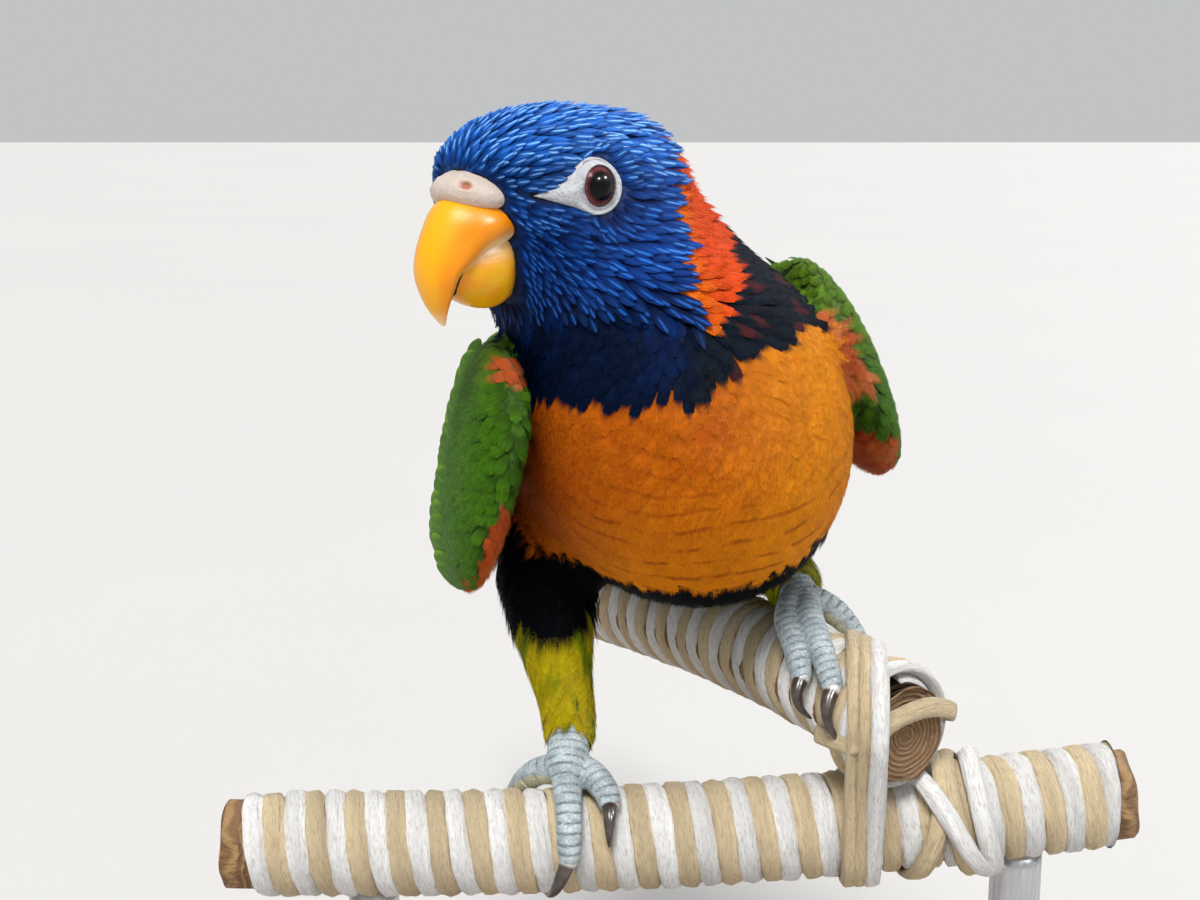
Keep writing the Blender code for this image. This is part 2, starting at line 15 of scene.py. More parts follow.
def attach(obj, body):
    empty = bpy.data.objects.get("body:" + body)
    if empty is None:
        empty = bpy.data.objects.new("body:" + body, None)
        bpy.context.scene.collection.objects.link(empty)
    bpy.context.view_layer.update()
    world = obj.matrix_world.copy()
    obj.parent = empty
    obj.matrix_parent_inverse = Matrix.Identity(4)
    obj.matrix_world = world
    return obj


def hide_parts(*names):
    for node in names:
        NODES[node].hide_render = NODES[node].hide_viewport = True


bl_info = {
    "name": "Red-collared lorikeet on a perch",
    "version": (1, 0, 0),
    "blender": (4, 5, 0),
    "location": "3D View > Sidebar > Lorikeet",
    "description": "Feathered life-size lorikeet gripping two cord-wrapped perch rods on a display stand",
    "category": "Add Mesh",
}

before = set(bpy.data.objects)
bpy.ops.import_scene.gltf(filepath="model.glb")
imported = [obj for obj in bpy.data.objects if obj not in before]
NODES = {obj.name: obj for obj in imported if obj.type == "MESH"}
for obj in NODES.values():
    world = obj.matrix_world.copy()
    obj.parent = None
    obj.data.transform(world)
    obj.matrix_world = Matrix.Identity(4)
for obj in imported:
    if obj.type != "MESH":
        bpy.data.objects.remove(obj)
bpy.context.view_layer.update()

# All the sizes below are in millimetres; +Z is up and the bird's breast faces -Y.
MM = 0.001
UP = Vector((0, 0, 1))
SIDES = ("left", "right")

# ---- pose and sizes shared with the solids ----
BODY_CENTRE = Vector((-1.7, -1.0, 142.0))
BODY_TURN, BODY_PITCH, BODY_ROLL = 12.0, 15.0, 15.0
HEAD_CENTRE = Vector((-19.6, -19.0, 181.0))
HEAD_TURN, HEAD_PITCH, HEAD_ROLL = -45.0, 0.0, 0.0

ROD_RADIUS, STICK_RADIUS, STICK_SHOWS = 8.3, 6.5, 3.0
FRONT_ROD_LEFT, FRONT_ROD_RIGHT = -68.0, 68.0
FRONT_ROD_Y, FRONT_ROD_Z = -28.0, 81.0
FRONT_ROD_SLOPE, FRONT_ROD_BOW, FRONT_ROD_LOWEST = 0.045, 0.0006, 12
FRONT_ROD_LENGTH = FRONT_ROD_RIGHT - FRONT_ROD_LEFT
BACK_ROD_END = Vector((33.6, -36.0, 101.4))
BACK_ROD_RUN = Vector((-0.53, 0.847, -0.015)).normalized()
BACK_ROD_LENGTH, BACK_ROD_BOW = 112.0, 4.2
BACK_ROD_SIDE = Vector((-BACK_ROD_RUN.y, BACK_ROD_RUN.x, 0)).normalized()
# Where the lashing goes round both rods.
CROSSING = Vector((31.0, -28.0, 93.0))
BASE_WIDTH, BASE_DEPTH, BASE_HEIGHT, BASE_CORNER = 150.0, 132.0, 12.0, 22.0
POST_RADIUS, POST_REACH = 4.0, 6.8
POSTS_X = (-48.0, 54.0)

Section = namedtuple("Section", "along half_width top bottom")
Plate = namedtuple("Plate", "along side rise half_height half_thick lean")
Arc = namedtuple("Arc", "angle outer inner half_width")
Knot = namedtuple("Knot", "x y z radius")
Grip = namedtuple("Grip", "along angle lift radius")

WING = (
    Plate(30, 24, 5, 5, 2.2, 18),
    Plate(26, 27, 3.5, 12.5, 4.4, 20),
    Plate(16, 29.5, 1.0, 19, 5.4, 22),
    Plate(2, 30.5, 0.5, 21, 5.4, 22),
    Plate(-18, 26.5, 6.0, 20, 4.6, 36),
    Plate(-42, 19.5, 8.6, 17, 3.6, 47),
    Plate(-66, 13.5, 7.6, 12, 2.8, 57),
    Plate(-90, 9.2, 4.6, 7.8, 2.1, 64),
    Plate(-108, 6.8, 1.8, 4.6, 1.5, 68),
    Plate(-120, 5.2, -0.6, 1.5, 0.8, 70),
)
WING_HELD = {"left": (-1.0, 0.6, -12), "right": (1.8, 2.4, 0)}
TAIL = (
    Section(-54, 9.5, 3.0, 4.2),
    Section(-75, 12.5, 2.4, 3.2),
    Section(-105, 13.0, 1.7, 2.2),
    Section(-135, 10.8, 1.2, 1.5),
    Section(-160, 7.4, 0.9, 1.0),
    Section(-176, 3.6, 0.6, 0.7),
    Section(-181, 1.2, 0.4, 0.4),
)
TAIL_RISE, TAIL_DROOP = -1.0, 0.055
BILL_CENTRE = (12.0, -10.5)
UPPER_BILL = (
    Arc(95, 11.7, 4.4, 7.2),
    Arc(67, 13.6, 4.0, 7.6),
    Arc(50, 14.2, 4.2, 7.2),
    Arc(31.7, 13.9, 5.0, 6.2),
    Arc(13.8, 13.8, 6.4, 5.5),
    Arc(-1.3, 13.4, 8.0, 4.6),
    Arc(-12.4, 13.0, 9.3, 3.6),
    Arc(-22.5, 12.6, 10.4, 2.5),
    Arc(-31, 12.2, 11.3, 1.4),
    Arc(-36.2, 12.0, 11.7, 0.6),
)
LOWER_BILL = (
    Section(9.5, 5.4, 7.2, 5.0),
    Section(14, 6.0, 6.8, 6.2),
    Section(18, 4.9, 4.8, 5.2),
    Section(20.6, 3.4, 2.4, 3.4),
    Section(21.6, 2.1, 1.0, 1.7),
)
LOWER_BILL_RISE = -9.4
# Left eyeball's centre and radius, radius of its bare ring and distance to the ring's front corner.
EYE_PLACE, EYE_RADIUS = Vector((4.2, 12.3, 2.5)), 4.3
EYE_RING, EYE_CORNER, CORNER_TURN = 4.1, 9.2, math.radians(-7.5)
# The cere sits like a saddle over the root of the bill; its sides bend back and down.
SADDLE_CENTRE, SADDLE_RADII = Vector((15.8, 0.0, 1.9)), Vector((5.7, 6.8, 3.2))
SADDLE_LEAN, SADDLE_BEND = 0.012, 0.022
NOSTRIL = Vector((20.2, 3.6, 3.1))
LEGS = {
    "right": (Knot(-17, 3, 127, 13), Knot(-21, -4, 119, 9.6), Knot(-19.8, -10, 111.5, 7.7),
              Knot(-18.2, -16, 103.1, 5.6), Knot(-16.9, -20, 95.6, 3.7)),
    "left": (Knot(9, 9, 130, 12), Knot(14.5, 4, 123, 8.5), Knot(18, 0, 118.3, 5.4),
             Knot(19.4, -4.4, 116, 4.0)),
}
SHANKS = {
    "right": (Knot(-16.8, -15, 98.6, 3.1), Knot(-16.9, -22, 96.6, 3.2), Knot(-17.2, -28.4, 92.6, 3.3)),
    "left": (Knot(19, -3, 117.4, 3.0), Knot(20.2, -8, 116.8, 3.1), Knot(20.8, -13, 115, 3.2)),
}
TOES = {
    "right": {
        "inner_front": (Grip(52.4, -12, 2.8, 2.5), Grip(55.0, 6, 2.5, 2.3), Grip(56.9, 24, 2.1, 2.0),
                        Grip(57.5, 37, 1.9, 1.7)),
        "outer_front": (Grip(50.6, -14, 2.9, 2.7), Grip(50.9, 14, 2.3, 2.3), Grip(51.2, 44, 1.9, 2.0),
                        Grip(51.3, 66, 1.8, 1.9), Grip(51.3, 84, 1.6, 1.6)),
        "outer_back": (Grip(49.4, -16, 2.8, 2.5), Grip(46.6, -26, 2.6, 2.2), Grip(44.0, -46, 2.0, 2.0),
                       Grip(42.2, -72, 1.8, 1.8), Grip(41.4, -96, 1.6, 1.5)),
        "inner_back": (Grip(52.2, -22, 2.8, 2.4), Grip(54.2, -50, 2.1, 2.0), Grip(55.0, -78, 1.6, 1.5)),
    },
    "left": {
        "inner_front": (Grip(26.0, 2, 2.6, 2.5), Grip(22.6, 24, 2.2, 2.2), Grip(18.4, 39, 1.9, 2.0),
                        Grip(15.0, 52, 1.8, 1.9), Grip(12.9, 64, 1.6, 1.6)),
        "outer_front": (Grip(27.0, -12, 2.8, 2.7), Grip(21.6, 6, 2.3, 2.3), Grip(15.6, 24, 1.9, 2.0),
                        Grip(10.2, 41, 1.8, 1.9), Grip(6.1, 57, 1.6, 1.6)),
        "outer_back": (Grip(26.4, -16, 2.8, 2.5), Grip(24.0, -34, 2.6, 2.2), Grip(22.4, -52, 2.0, 2.0),
                       Grip(21.8, -76, 1.8, 1.9), Grip(22.4, -98, 1.6, 1.5)),
        "inner_back": (Grip(28.4, -10, 2.6, 2.4), Grip(33.0, -34, 2.0, 2.0), Grip(36.6, -60, 1.6, 1.5)),
    },
}
# The feathered sleeve of each leg, down over the top of the foot.
ANKLES = {
    "right": (Knot(-17.6, -17, 101.6, 4.3), Knot(-16.9, -20.4, 97.2, 4.0), Knot(-17.0, -23.6, 95.2, 3.9)),
    "left": (Knot(18, 0, 118.3, 5.0), Knot(19.6, -5.0, 117.0, 4.5), Knot(20.5, -9.6, 116.0, 4.1)),
}
# Claws leave the toe's last grip: further along the rod, angle gained and closing lift at the point.
CLAWS = {
    "right": {"inner_front": (-0.1, 38, 0.9), "outer_front": (-3.7, 45, 0.9), "outer_back": (-1.0, -40, 0.9),
              "inner_back": (0.4, -44, 0.9)},
    "left": {"inner_front": (-2.7, 33, 0.9), "outer_front": (-3.3, 43, 0.9), "outer_back": (0.6, -40, 0.9),
             "inner_back": (3.0, -38, 0.9)},
}
CLAW_RADIUS, CLAW_HUMP = 1.25, 1.5
# The tan strand across the back rod's sawn end: along the rod, sideways and up.
END_TIE = (
    Knot(9, -8.6, -3.4, 0.6), Knot(3, -9.4, -1.6, 0.8), Knot(-1.6, -8.9, 0.6, 0.9), Knot(-2.6, -3.4, 3.6, 1.0),
    Knot(-2.7, 3.0, 4.4, 1.0), Knot(-1.8, 8.6, 2.6, 0.9), Knot(2.5, 9.5, 0.6, 0.8), Knot(9, 8.8, -2.4, 0.6),
)
# Share of the way from the lids' opening to the ring's outline, lift off the form, and darkness.
LID_BANDS = (
    (-0.06, -1.4, 1.0), (-0.03, -0.3, 1.0), (0.03, 0.22, 0.9), (0.10, 0.42, 0.3), (0.20, 0.36, 0.0),
    (0.34, 0.14, 0.0), (0.5, 0.02, 0.0), (0.68, -0.1, 0.0), (0.86, -0.22, 0.0), (1.0, -0.5, 0.0),
    (1.08, -1.8, 0.0),
)

# ---- how finely things are made ----
BILL_SIDES, UPPER_BILL_ROWS, LOWER_BILL_ROWS = 40, 54, 26
TOE_ROWS, SHANK_ROWS = 40, 24
SCUTE_PITCH, PAD_PITCH = 1.42, 3.1
CORD_STEPS = 26
# pitch and centre of the painted shadow lines across the breast
FOLD_SHADOW_PITCH, FOLD_SHADOW_CENTRE = 3.0, Vector((50, 0, 30))
BARB_RELIEF = 0.00008
# How far light goes into thin skin, in metres of red, green and blue.
THIN_SKIN = (0.0012, 0.0008, 0.0006)
# dark blue painted shade for the skin under bill, cere and eye ring
BARE_DOWN_SHADE = (0.004, 0.012, 0.04)
CAMERA_PLACE, CAMERA_DIP, SENSOR_WIDTH = Vector((-12.0, -295.0, 198.0)), 11.5, 36.0

# Solids of the flesh, and the forms that are set into it.
FLESH = ("head", "neck", "trunk", "leg_left", "leg_right")
SOCKETS = ("eye_left", "eye_right", "bill_upper", "bill_lower", "cere")
BODY_PARTS = ("head", "neck", "trunk", "wing_left", "wing_right", "leg_left", "leg_right", "tail")

# Regions of the plumage.
BARE, BLUE, THROAT, COLLAR, NAPE, BREAST, BELLY, MANTLE, VENT, TIBIA, THIGH, WING_TOP, WING_UNDER = range(13)


def axes_at(centre, turn, pitch, roll):
    """Matrix from a local frame (x forward, y to the bird's left, z up) to the model's frame."""
    heading = Matrix.Rotation(math.radians(turn - 90), 4, "Z")
    tilt = Matrix.Rotation(math.radians(-pitch), 4, "Y") @ Matrix.Rotation(math.radians(roll), 4, "X")
    return Matrix.Translation(centre) @ heading @ tilt


BODY = axes_at(BODY_CENTRE, BODY_TURN, BODY_PITCH, BODY_ROLL)
SKULL = axes_at(HEAD_CENTRE, HEAD_TURN, HEAD_PITCH, HEAD_ROLL)


# ---- number helpers ----
def inside(matrix, points):
    """Points of the model's frame, seen in a local frame."""
    back = np.array(matrix.inverted())
    return points @ back[:3, :3].T + back[:3, 3]


def outside(matrix, points):
    """Points of a local frame, put in the model's frame."""
    there = np.array(matrix)
    return points @ there[:3, :3].T + there[:3, 3]


def step(low, high, value):
    """Smooth step from 0 to 1 between two values, either way round."""
    t = np.clip((value - low) / (high - low), 0.0, 1.0)
    return t * t * (3 - 2 * t)


def mixed(a, b, share):
    """Share of the way from a to b, for whole rows of colours or places."""
    return np.asarray(a) + (np.asarray(b) - np.asarray(a)) * np.asarray(share)[..., None]


def unit(vectors):
    return vectors / np.maximum(np.linalg.norm(vectors, axis=-1, keepdims=True), 1e-9)


def turned(matrix, ways):
    """Directions of a local frame, in the model's frame."""
    return ways @ np.array(matrix)[:3, :3].T


def blended(rows, share):
    """Row at a share of the way through the rows, on a smooth curve through all of them."""
    place = share * (len(rows) - 1)
    i = min(int(place), len(rows) - 2)
    t = place - i
    near = [rows[max(0, min(len(rows) - 1, i + k))] for k in (-1, 0, 1, 2)]
    values = []
    for a, b, c, d in zip(*near):
        bend = (2 * a - 5 * b + 4 * c - d) * t**2 + (3 * b - a - 3 * c + d) * t**3
        values.append(0.5 * (2 * b + (c - a) * t + bend))
    return type(rows[0])(*values)


def resampled(rows, count):
    """Rows at even steps on the smooth curve through a few given ones."""
    return [blended(rows, i / (count - 1)) for i in range(count)]


def turns(count):
    """Even angles round a full turn."""
    return [2 * math.pi * i / count for i in range(count)]


def ripple(points, size, seed):
    """Cheap smooth noise from -1 to 1 over points, made of a few crossed waves."""
    picked = np.random.default_rng(seed)
    total = np.zeros(len(points))
    for k in range(5):
        way = unit(picked.normal(size=3)) * (2 * math.pi / (size * (0.6 + 0.35 * k)))
        total += np.sin(points @ way + picked.uniform(0, 6.3))
    return total / 2.6


def ring_reach(angle):
    """Outline of the bare skin round the eye: round, and drawn to a slender corner in front."""
    off = angle - CORNER_TURN
    return EYE_RING + (EYE_CORNER - EYE_RING) * np.exp(-np.abs(off) / np.where(off > 0, 0.22, 0.28))


# ---- mesh helpers ----
def add_object(name, bm, *materials, recalc=True):
    """Smooth-shaded object at the origin from a bmesh, which it uses up."""
    if recalc:
        bmesh.ops.recalc_face_normals(bm, faces=bm.faces)
    mesh = bpy.data.meshes.new(name)
    bm.to_mesh(mesh)
    bm.free()
    made = bpy.data.objects.new(name, mesh)
    bpy.context.scene.collection.objects.link(made)
    for material in materials:
        mesh.materials.append(material)
    mesh.shade_smooth()
    return made


def place_piece(made, slot, *nodes):
    """The finished piece rides on the model and stands for its solids."""
    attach(made, "root")
    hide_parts(*nodes)
    return made


def loft(rings, capped=True):
    """Closed bmesh extruded from ring to ring, in millimetres."""
    bm = bmesh.new()
    bmesh.ops.create_circle(bm, segments=len(rings[0]), radius=1.0)
    bm.verts.ensure_lookup_table()
    ring = list(bm.verts)
    for vert, place in zip(ring, rings[0]):
        vert.co = Vector(place) * MM
    first = list(bm.edges)
    rim = first
    for places in rings[1:]:
        order = {vert: i for i, vert in enumerate(ring)}
        grown = bmesh.ops.extrude_edge_only(bm, edges=rim)["geom"]
        rim = [e for e in grown if isinstance(e, bmesh.types.BMEdge) and all(v not in order for v in e.verts)]
        ring = [None] * len(order)
        for vert in (v for v in grown if isinstance(v, bmesh.types.BMVert)):
            old = next(e.other_vert(vert) for e in vert.link_edges if e.other_vert(vert) in order)
            ring[order[old]] = vert
        for vert, place in zip(ring, places):
            vert.co = Vector(place) * MM
    if capped:
        bmesh.ops.holes_fill(bm, edges=first, sides=0)
        bmesh.ops.holes_fill(bm, edges=rim, sides=0)
    bmesh.ops.recalc_face_normals(bm, faces=bm.faces)
    return bm


def tube_rings(points, radii, sides):
    """Rings square to the line through the points, turned along it without twist."""
    rings = []
    side = None
    for i, point in enumerate(points):
        run = (points[min(i + 1, len(points) - 1)] - points[max(i - 1, 0)]).normalized()
        side = (side - run * side.dot(run)).normalized() if side else run.orthogonal().normalized()
        across = run.cross(side)
        rings.append([point + radii[i] * (side * math.cos(a) + across * math.sin(a)) for a in turns(sides)])
    return rings


def merged(*bms):
    """One bmesh from several."""
    whole = bmesh.new()
    for bm in bms:
        mesh = bpy.data.meshes.new("part")
        bm.to_mesh(mesh)
        bm.free()
        whole.from_mesh(mesh)
        bpy.data.meshes.remove(mesh)
    return whole


def node_bmesh(name, swell=0.0):
    """Copy of a solid with its loose triangles merged, swollen along its normals."""
    bm = bmesh.new()
    bm.from_mesh(NODES[name].data)
    bmesh.ops.remove_doubles(bm, verts=bm.verts, dist=1e-6)
    bm.normal_update()
    for vert in bm.verts:
        vert.co += vert.normal * swell * MM
    return bm


def fused(bm, voxel, smooth):
    """The shapes of a bmesh grown together into one even skin."""
    made = add_object("fusing", bm, recalc=False)
    remesh = made.modifiers.new("Fuse", "REMESH")
    remesh.mode = "VOXEL"
    remesh.voxel_size = voxel * MM
    relax = made.modifiers.new("Relax", "SMOOTH")
    relax.factor = 0.5
    relax.iterations = smooth
    done = bmesh.new()
    done.from_object(made, bpy.context.evaluated_depsgraph_get())
    mesh = made.data
    bpy.data.objects.remove(made)
    bpy.data.meshes.remove(mesh)
    done.normal_update()
    return done


def places_of(bm):
    """Vertex places of a bmesh in millimetres."""
    return np.array([v.co for v in bm.verts]) / MM


def normals_of(bm):
    return np.array([v.normal for v in bm.verts])


def move_verts(bm, places):
    for vert, place in zip(bm.verts, places.tolist()):
        vert.co = Vector(place) * MM


def verts_of(mesh):
    """Vertex places of a mesh in millimetres."""
    places = np.zeros(len(mesh.vertices) * 3)
    mesh.vertices.foreach_get("co", places)
    return places.reshape(-1, 3) / MM


def set_values(mesh, name, kind, values):
    """Stores one value per vertex as an attribute that the materials read."""
    made = mesh.attributes.new(name, kind, "POINT")
    field = {"FLOAT": "value", "FLOAT_VECTOR": "vector", "FLOAT_COLOR": "color"}[kind]
    made.data.foreach_set(field, np.ascontiguousarray(values, np.float32).ravel())


def set_tint(mesh, tint, name="tint"):
    """Stores a colour per vertex."""
    set_values(mesh, name, "FLOAT_COLOR", np.column_stack([tint, np.ones(len(tint))]))


def tree_of(bms):
    """Search tree, in millimetres, over a few bmeshes, which it uses up.

    A bmesh may list its faces in another order each time it is made, so they are sorted here.
    """
    vertices, faces = [], []
    for bm in bms:
        start = len(vertices)
        bm.verts.index_update()
        vertices += [v.co / MM for v in bm.verts]
        for face in bm.faces:
            corners = [start + v.index for v in face.verts]
            first = corners.index(min(corners))
            faces.append(corners[first:] + corners[:first])
        bm.free()
    return BVHTree.FromPolygons(vertices, sorted(faces))


@cache
def part_trees():
    """Search trees over the solids of each part of the body."""
    return {name: tree_of([node_bmesh(name)]) for name in BODY_PARTS}


def upper_bill_rings():
    """Rings of the hooked upper bill from its root, with share, ridge and cutting edge at each corner."""
    rings, horn = [], []
    count = UPPER_BILL_ROWS
    for i, row in enumerate(resampled(UPPER_BILL, count)):
        angle = math.radians(row.angle)
        out = Vector((math.cos(angle), 0, math.sin(angle)))
        notch = 0.75 * math.exp(-(((row.angle - 2) / 9) ** 2)) - 0.3 * math.exp(-(((row.angle - 22) / 10) ** 2))
        inner = row.inner + notch
        middle = Vector((BILL_CENTRE[0], 0, BILL_CENTRE[1])) + out * (row.outer + inner) / 2
        ring = []
        for a in turns(BILL_SIDES):
            crest = math.sin(a)
            narrowing = 1 - 0.3 * (1 + crest) / 2
            belly = 1 + 0.05 * math.cos(2 * a)
            lip = 1 + 0.22 * max(0.0, -crest) ** 6 * abs(math.cos(a))
            wide = row.half_width * narrowing * math.cos(a) * belly * lip
            ring.append(SKULL @ (middle + out * ((row.outer - inner) / 2 * crest) + Vector((0, wide, 0))))
            edge = max(0.0, min(1.0, (-crest - 0.28) / 0.36))
            horn.append((i / (count - 1), max(0.0, crest) ** 1.5, edge))
        rings.append(ring)
    return rings, horn


def lower_bill_rings():
    """Rings of the lower bill from its root, with share, underside and upper edge at each corner."""
    rings, horn = [], []
    count = LOWER_BILL_ROWS
    for i, row in enumerate(resampled(LOWER_BILL, count)):
        # the root narrows where the cheek feathers come over it
        half_width = row.half_width * (0.64 + 0.36 * float(step(9.5, 13.5, row.along)))
        ring = []
        for a in turns(BILL_SIDES):
            crest = math.sin(a)
            depth = row.top if crest > 0 else row.bottom
            square = math.copysign(abs(math.cos(a)) ** 0.85, math.cos(a))
            ring.append(SKULL @ Vector((row.along, half_width * square, LOWER_BILL_RISE + depth * crest)))
            horn.append((i / (count - 1), max(0.0, -crest), max(0.0, min(1.0, (crest - 0.1) / 0.5))))
        rings.append(ring)
    return rings, horn


DEEPEST_IN_BILL = 15  # no place inside the bill is as far as this from its outside, mm


@cache
def horn_tree():
    """Search tree over both halves of the bill."""
    return tree_of([loft(upper_bill_rings()[0]), loft(lower_bill_rings()[0])])


def horn_gap(points):
    """Room between each point and the bill, below zero inside the bill."""
    gaps = np.empty(len(points))
    for k, point in enumerate(points.tolist()):
        at, normal, _, gap = horn_tree().find_nearest(point)
        gaps[k] = -gap if gap < DEEPEST_IN_BILL and (Vector(point) - at).dot(normal) < 0 else gap
    return gaps


# ---- wing and tail coordinates ----
@cache
def wing_table():
    """Rows of the folded wing from its tip forward, close enough to read between."""
    return np.array(resampled(WING, 90))[::-1]


def wing_frame(side, along):
    """Middle, blade and outward directions, half height and half thickness of a folded wing."""
    table = wing_table()
    reach, rise, high, thick, lean = (np.interp(along, table[:, 0], table[:, k]) for k in range(1, 6))
    sign = 1 if side == "left" else -1
    out, up, tilt = WING_HELD[side]
    share = np.maximum(0.0, 1 + along / 60)
    turn = np.radians(lean + tilt * np.minimum(share, 1.0))
    zero = np.zeros_like(turn)
    blade = np.stack([zero, -np.sin(turn) * sign, np.cos(turn)], -1)
    outward = np.stack([zero, np.cos(turn) * sign, np.sin(turn)], -1)
    middle = np.stack([along, (reach + out * share) * sign, rise + up * share], -1)
    return middle, blade, outward, high, thick


def wing_place(side, along, across, lift, face=1):
    """Places and normals on a face of a folded wing; across runs from its lower edge (-1) to its upper."""
    middle, blade, outward, high, thick = wing_frame(side, along)
    swell = thick * np.sqrt(np.maximum(0.0, 1 - np.minimum(np.abs(across), 1.0) ** 2)) + lift
    local = middle + blade * (high * across)[..., None] + outward * (swell * face)[..., None]
    slope = np.clip(across, -0.98, 0.98)
    tip = unit(outward * face + blade * (slope * thick / np.maximum(high, 1.0) * 2.2)[..., None])
    return outside(BODY, local), turned(BODY, tip)


def wing_core(side):
    """Flesh and quill bases of the wing, well inside its feathers."""
    rings = []
    for row in resampled(WING, 40):
        if row.along < -84:
            continue
        thin = np.interp(row.along, [-84, -60, -30, 0, 30], [0.34, 0.5, 0.6, 0.78, 0.72])
        high = np.interp(row.along, [-84, -50, 0, 22, 30], [0.62, 0.86, 0.93, 0.95, 0.80])
        along = np.array([row.along * 0.985])
        middle, blade, outward, *_ = (v[0] for v in wing_frame(side, along))
        ring = []
        for a in turns(20):
            off = blade * row.half_height * high * math.sin(a) + outward * row.half_thick * thin * math.cos(a)
            ring.append(BODY @ Vector(middle + off))
        rings.append(ring)
    return loft(rings)


def tail_core():
    """Flesh at the root of the tail, inside its feathers."""
    rings = []
    for row in resampled(TAIL, 30):
        if row.along < -86:
            continue
        middle = TAIL_RISE + TAIL_DROOP * (row.along - TAIL[0].along)
        ring = []
        for a in turns(16):
            depth = (row.top if math.sin(a) > 0 else row.bottom) * 0.55
            side = row.half_width * 0.8 * math.cos(a)
            ring.append(BODY @ Vector((row.along, side, middle + depth * math.sin(a))))
        rings.append(ring)
    return loft(rings)


# ---- plumage regions, colours and lie ----
def coat_depth(points):
    """How far the coat stands over the skin, in millimetres."""
    skull, body = inside(SKULL, points), inside(BODY, points)
    face = np.linalg.norm(skull - (13, 0, -3), axis=1)
    head = 0.75 + 0.5 * step(9, 26, face)
    trunk = 1.3 + 0.4 * step(10, -30, body[:, 0])
    off_head = np.maximum(step(-14, -24, skull[:, 2]), step(-14, -26, skull[:, 0]))
    leg = step(118, 108, points[:, 2]) * step(-18, -26, body[:, 2])
    return (head + (trunk - head) * off_head) * (1 - 0.35 * leg)


def part_labels(points):
    """Name of the nearest part of the body at each point."""
    trees = part_trees()
    names = list(trees)
    away = np.empty((len(points), len(names)))
    for k, name in enumerate(names):
        find = trees[name].find_nearest
        away[:, k] = [find(p)[3] for p in points.tolist()]
    # the wings' small feathers overlap the breast's
    away[:, names.index("wing_left")] -= 1.8
    away[:, names.index("wing_right")] -= 0.4
    return np.array(names)[np.argmin(away, axis=1)]


def in_saddle(skull):
    """Below 1 inside the cere, above 1 outside it."""
    square = skull[:, 1] ** 2
    bent = skull + np.stack([square * SADDLE_LEAN, square * 0, square * SADDLE_BEND], -1)
    return np.linalg.norm((bent - SADDLE_CENTRE) / SADDLE_RADII, axis=1)


def eye_gap(skull):
    """Distance from the nearer eye's middle, seen from the side; far off everywhere but on the sides of the head."""
    return np.hypot(skull[:, 0] - EYE_PLACE.x, skull[:, 2] - EYE_PLACE.z) + 20 * (np.abs(skull[:, 1]) < 6)


def behind_saddle(skull):
    """True where the forehead's feathers run, over and behind the cere."""
    return (skull[:, 2] > 3.2) & (in_saddle(skull) > 1.02)


def near_ankle(points, side):
    """Distance of each point from the surface of a leg's feathered ankle."""
    best = np.full(len(points), np.inf)
    for near, far in pairwise(ANKLES[side]):
        start, run = np.array(near[:3]), np.array(far[:3]) - near[:3]
        t = np.clip((points - start) @ run / (run @ run), 0, 1)
        away = np.linalg.norm(points - start - run * t[:, None], axis=1)
        best = np.minimum(best, away - near[3] - (far[3] - near[3]) * t)
    return best


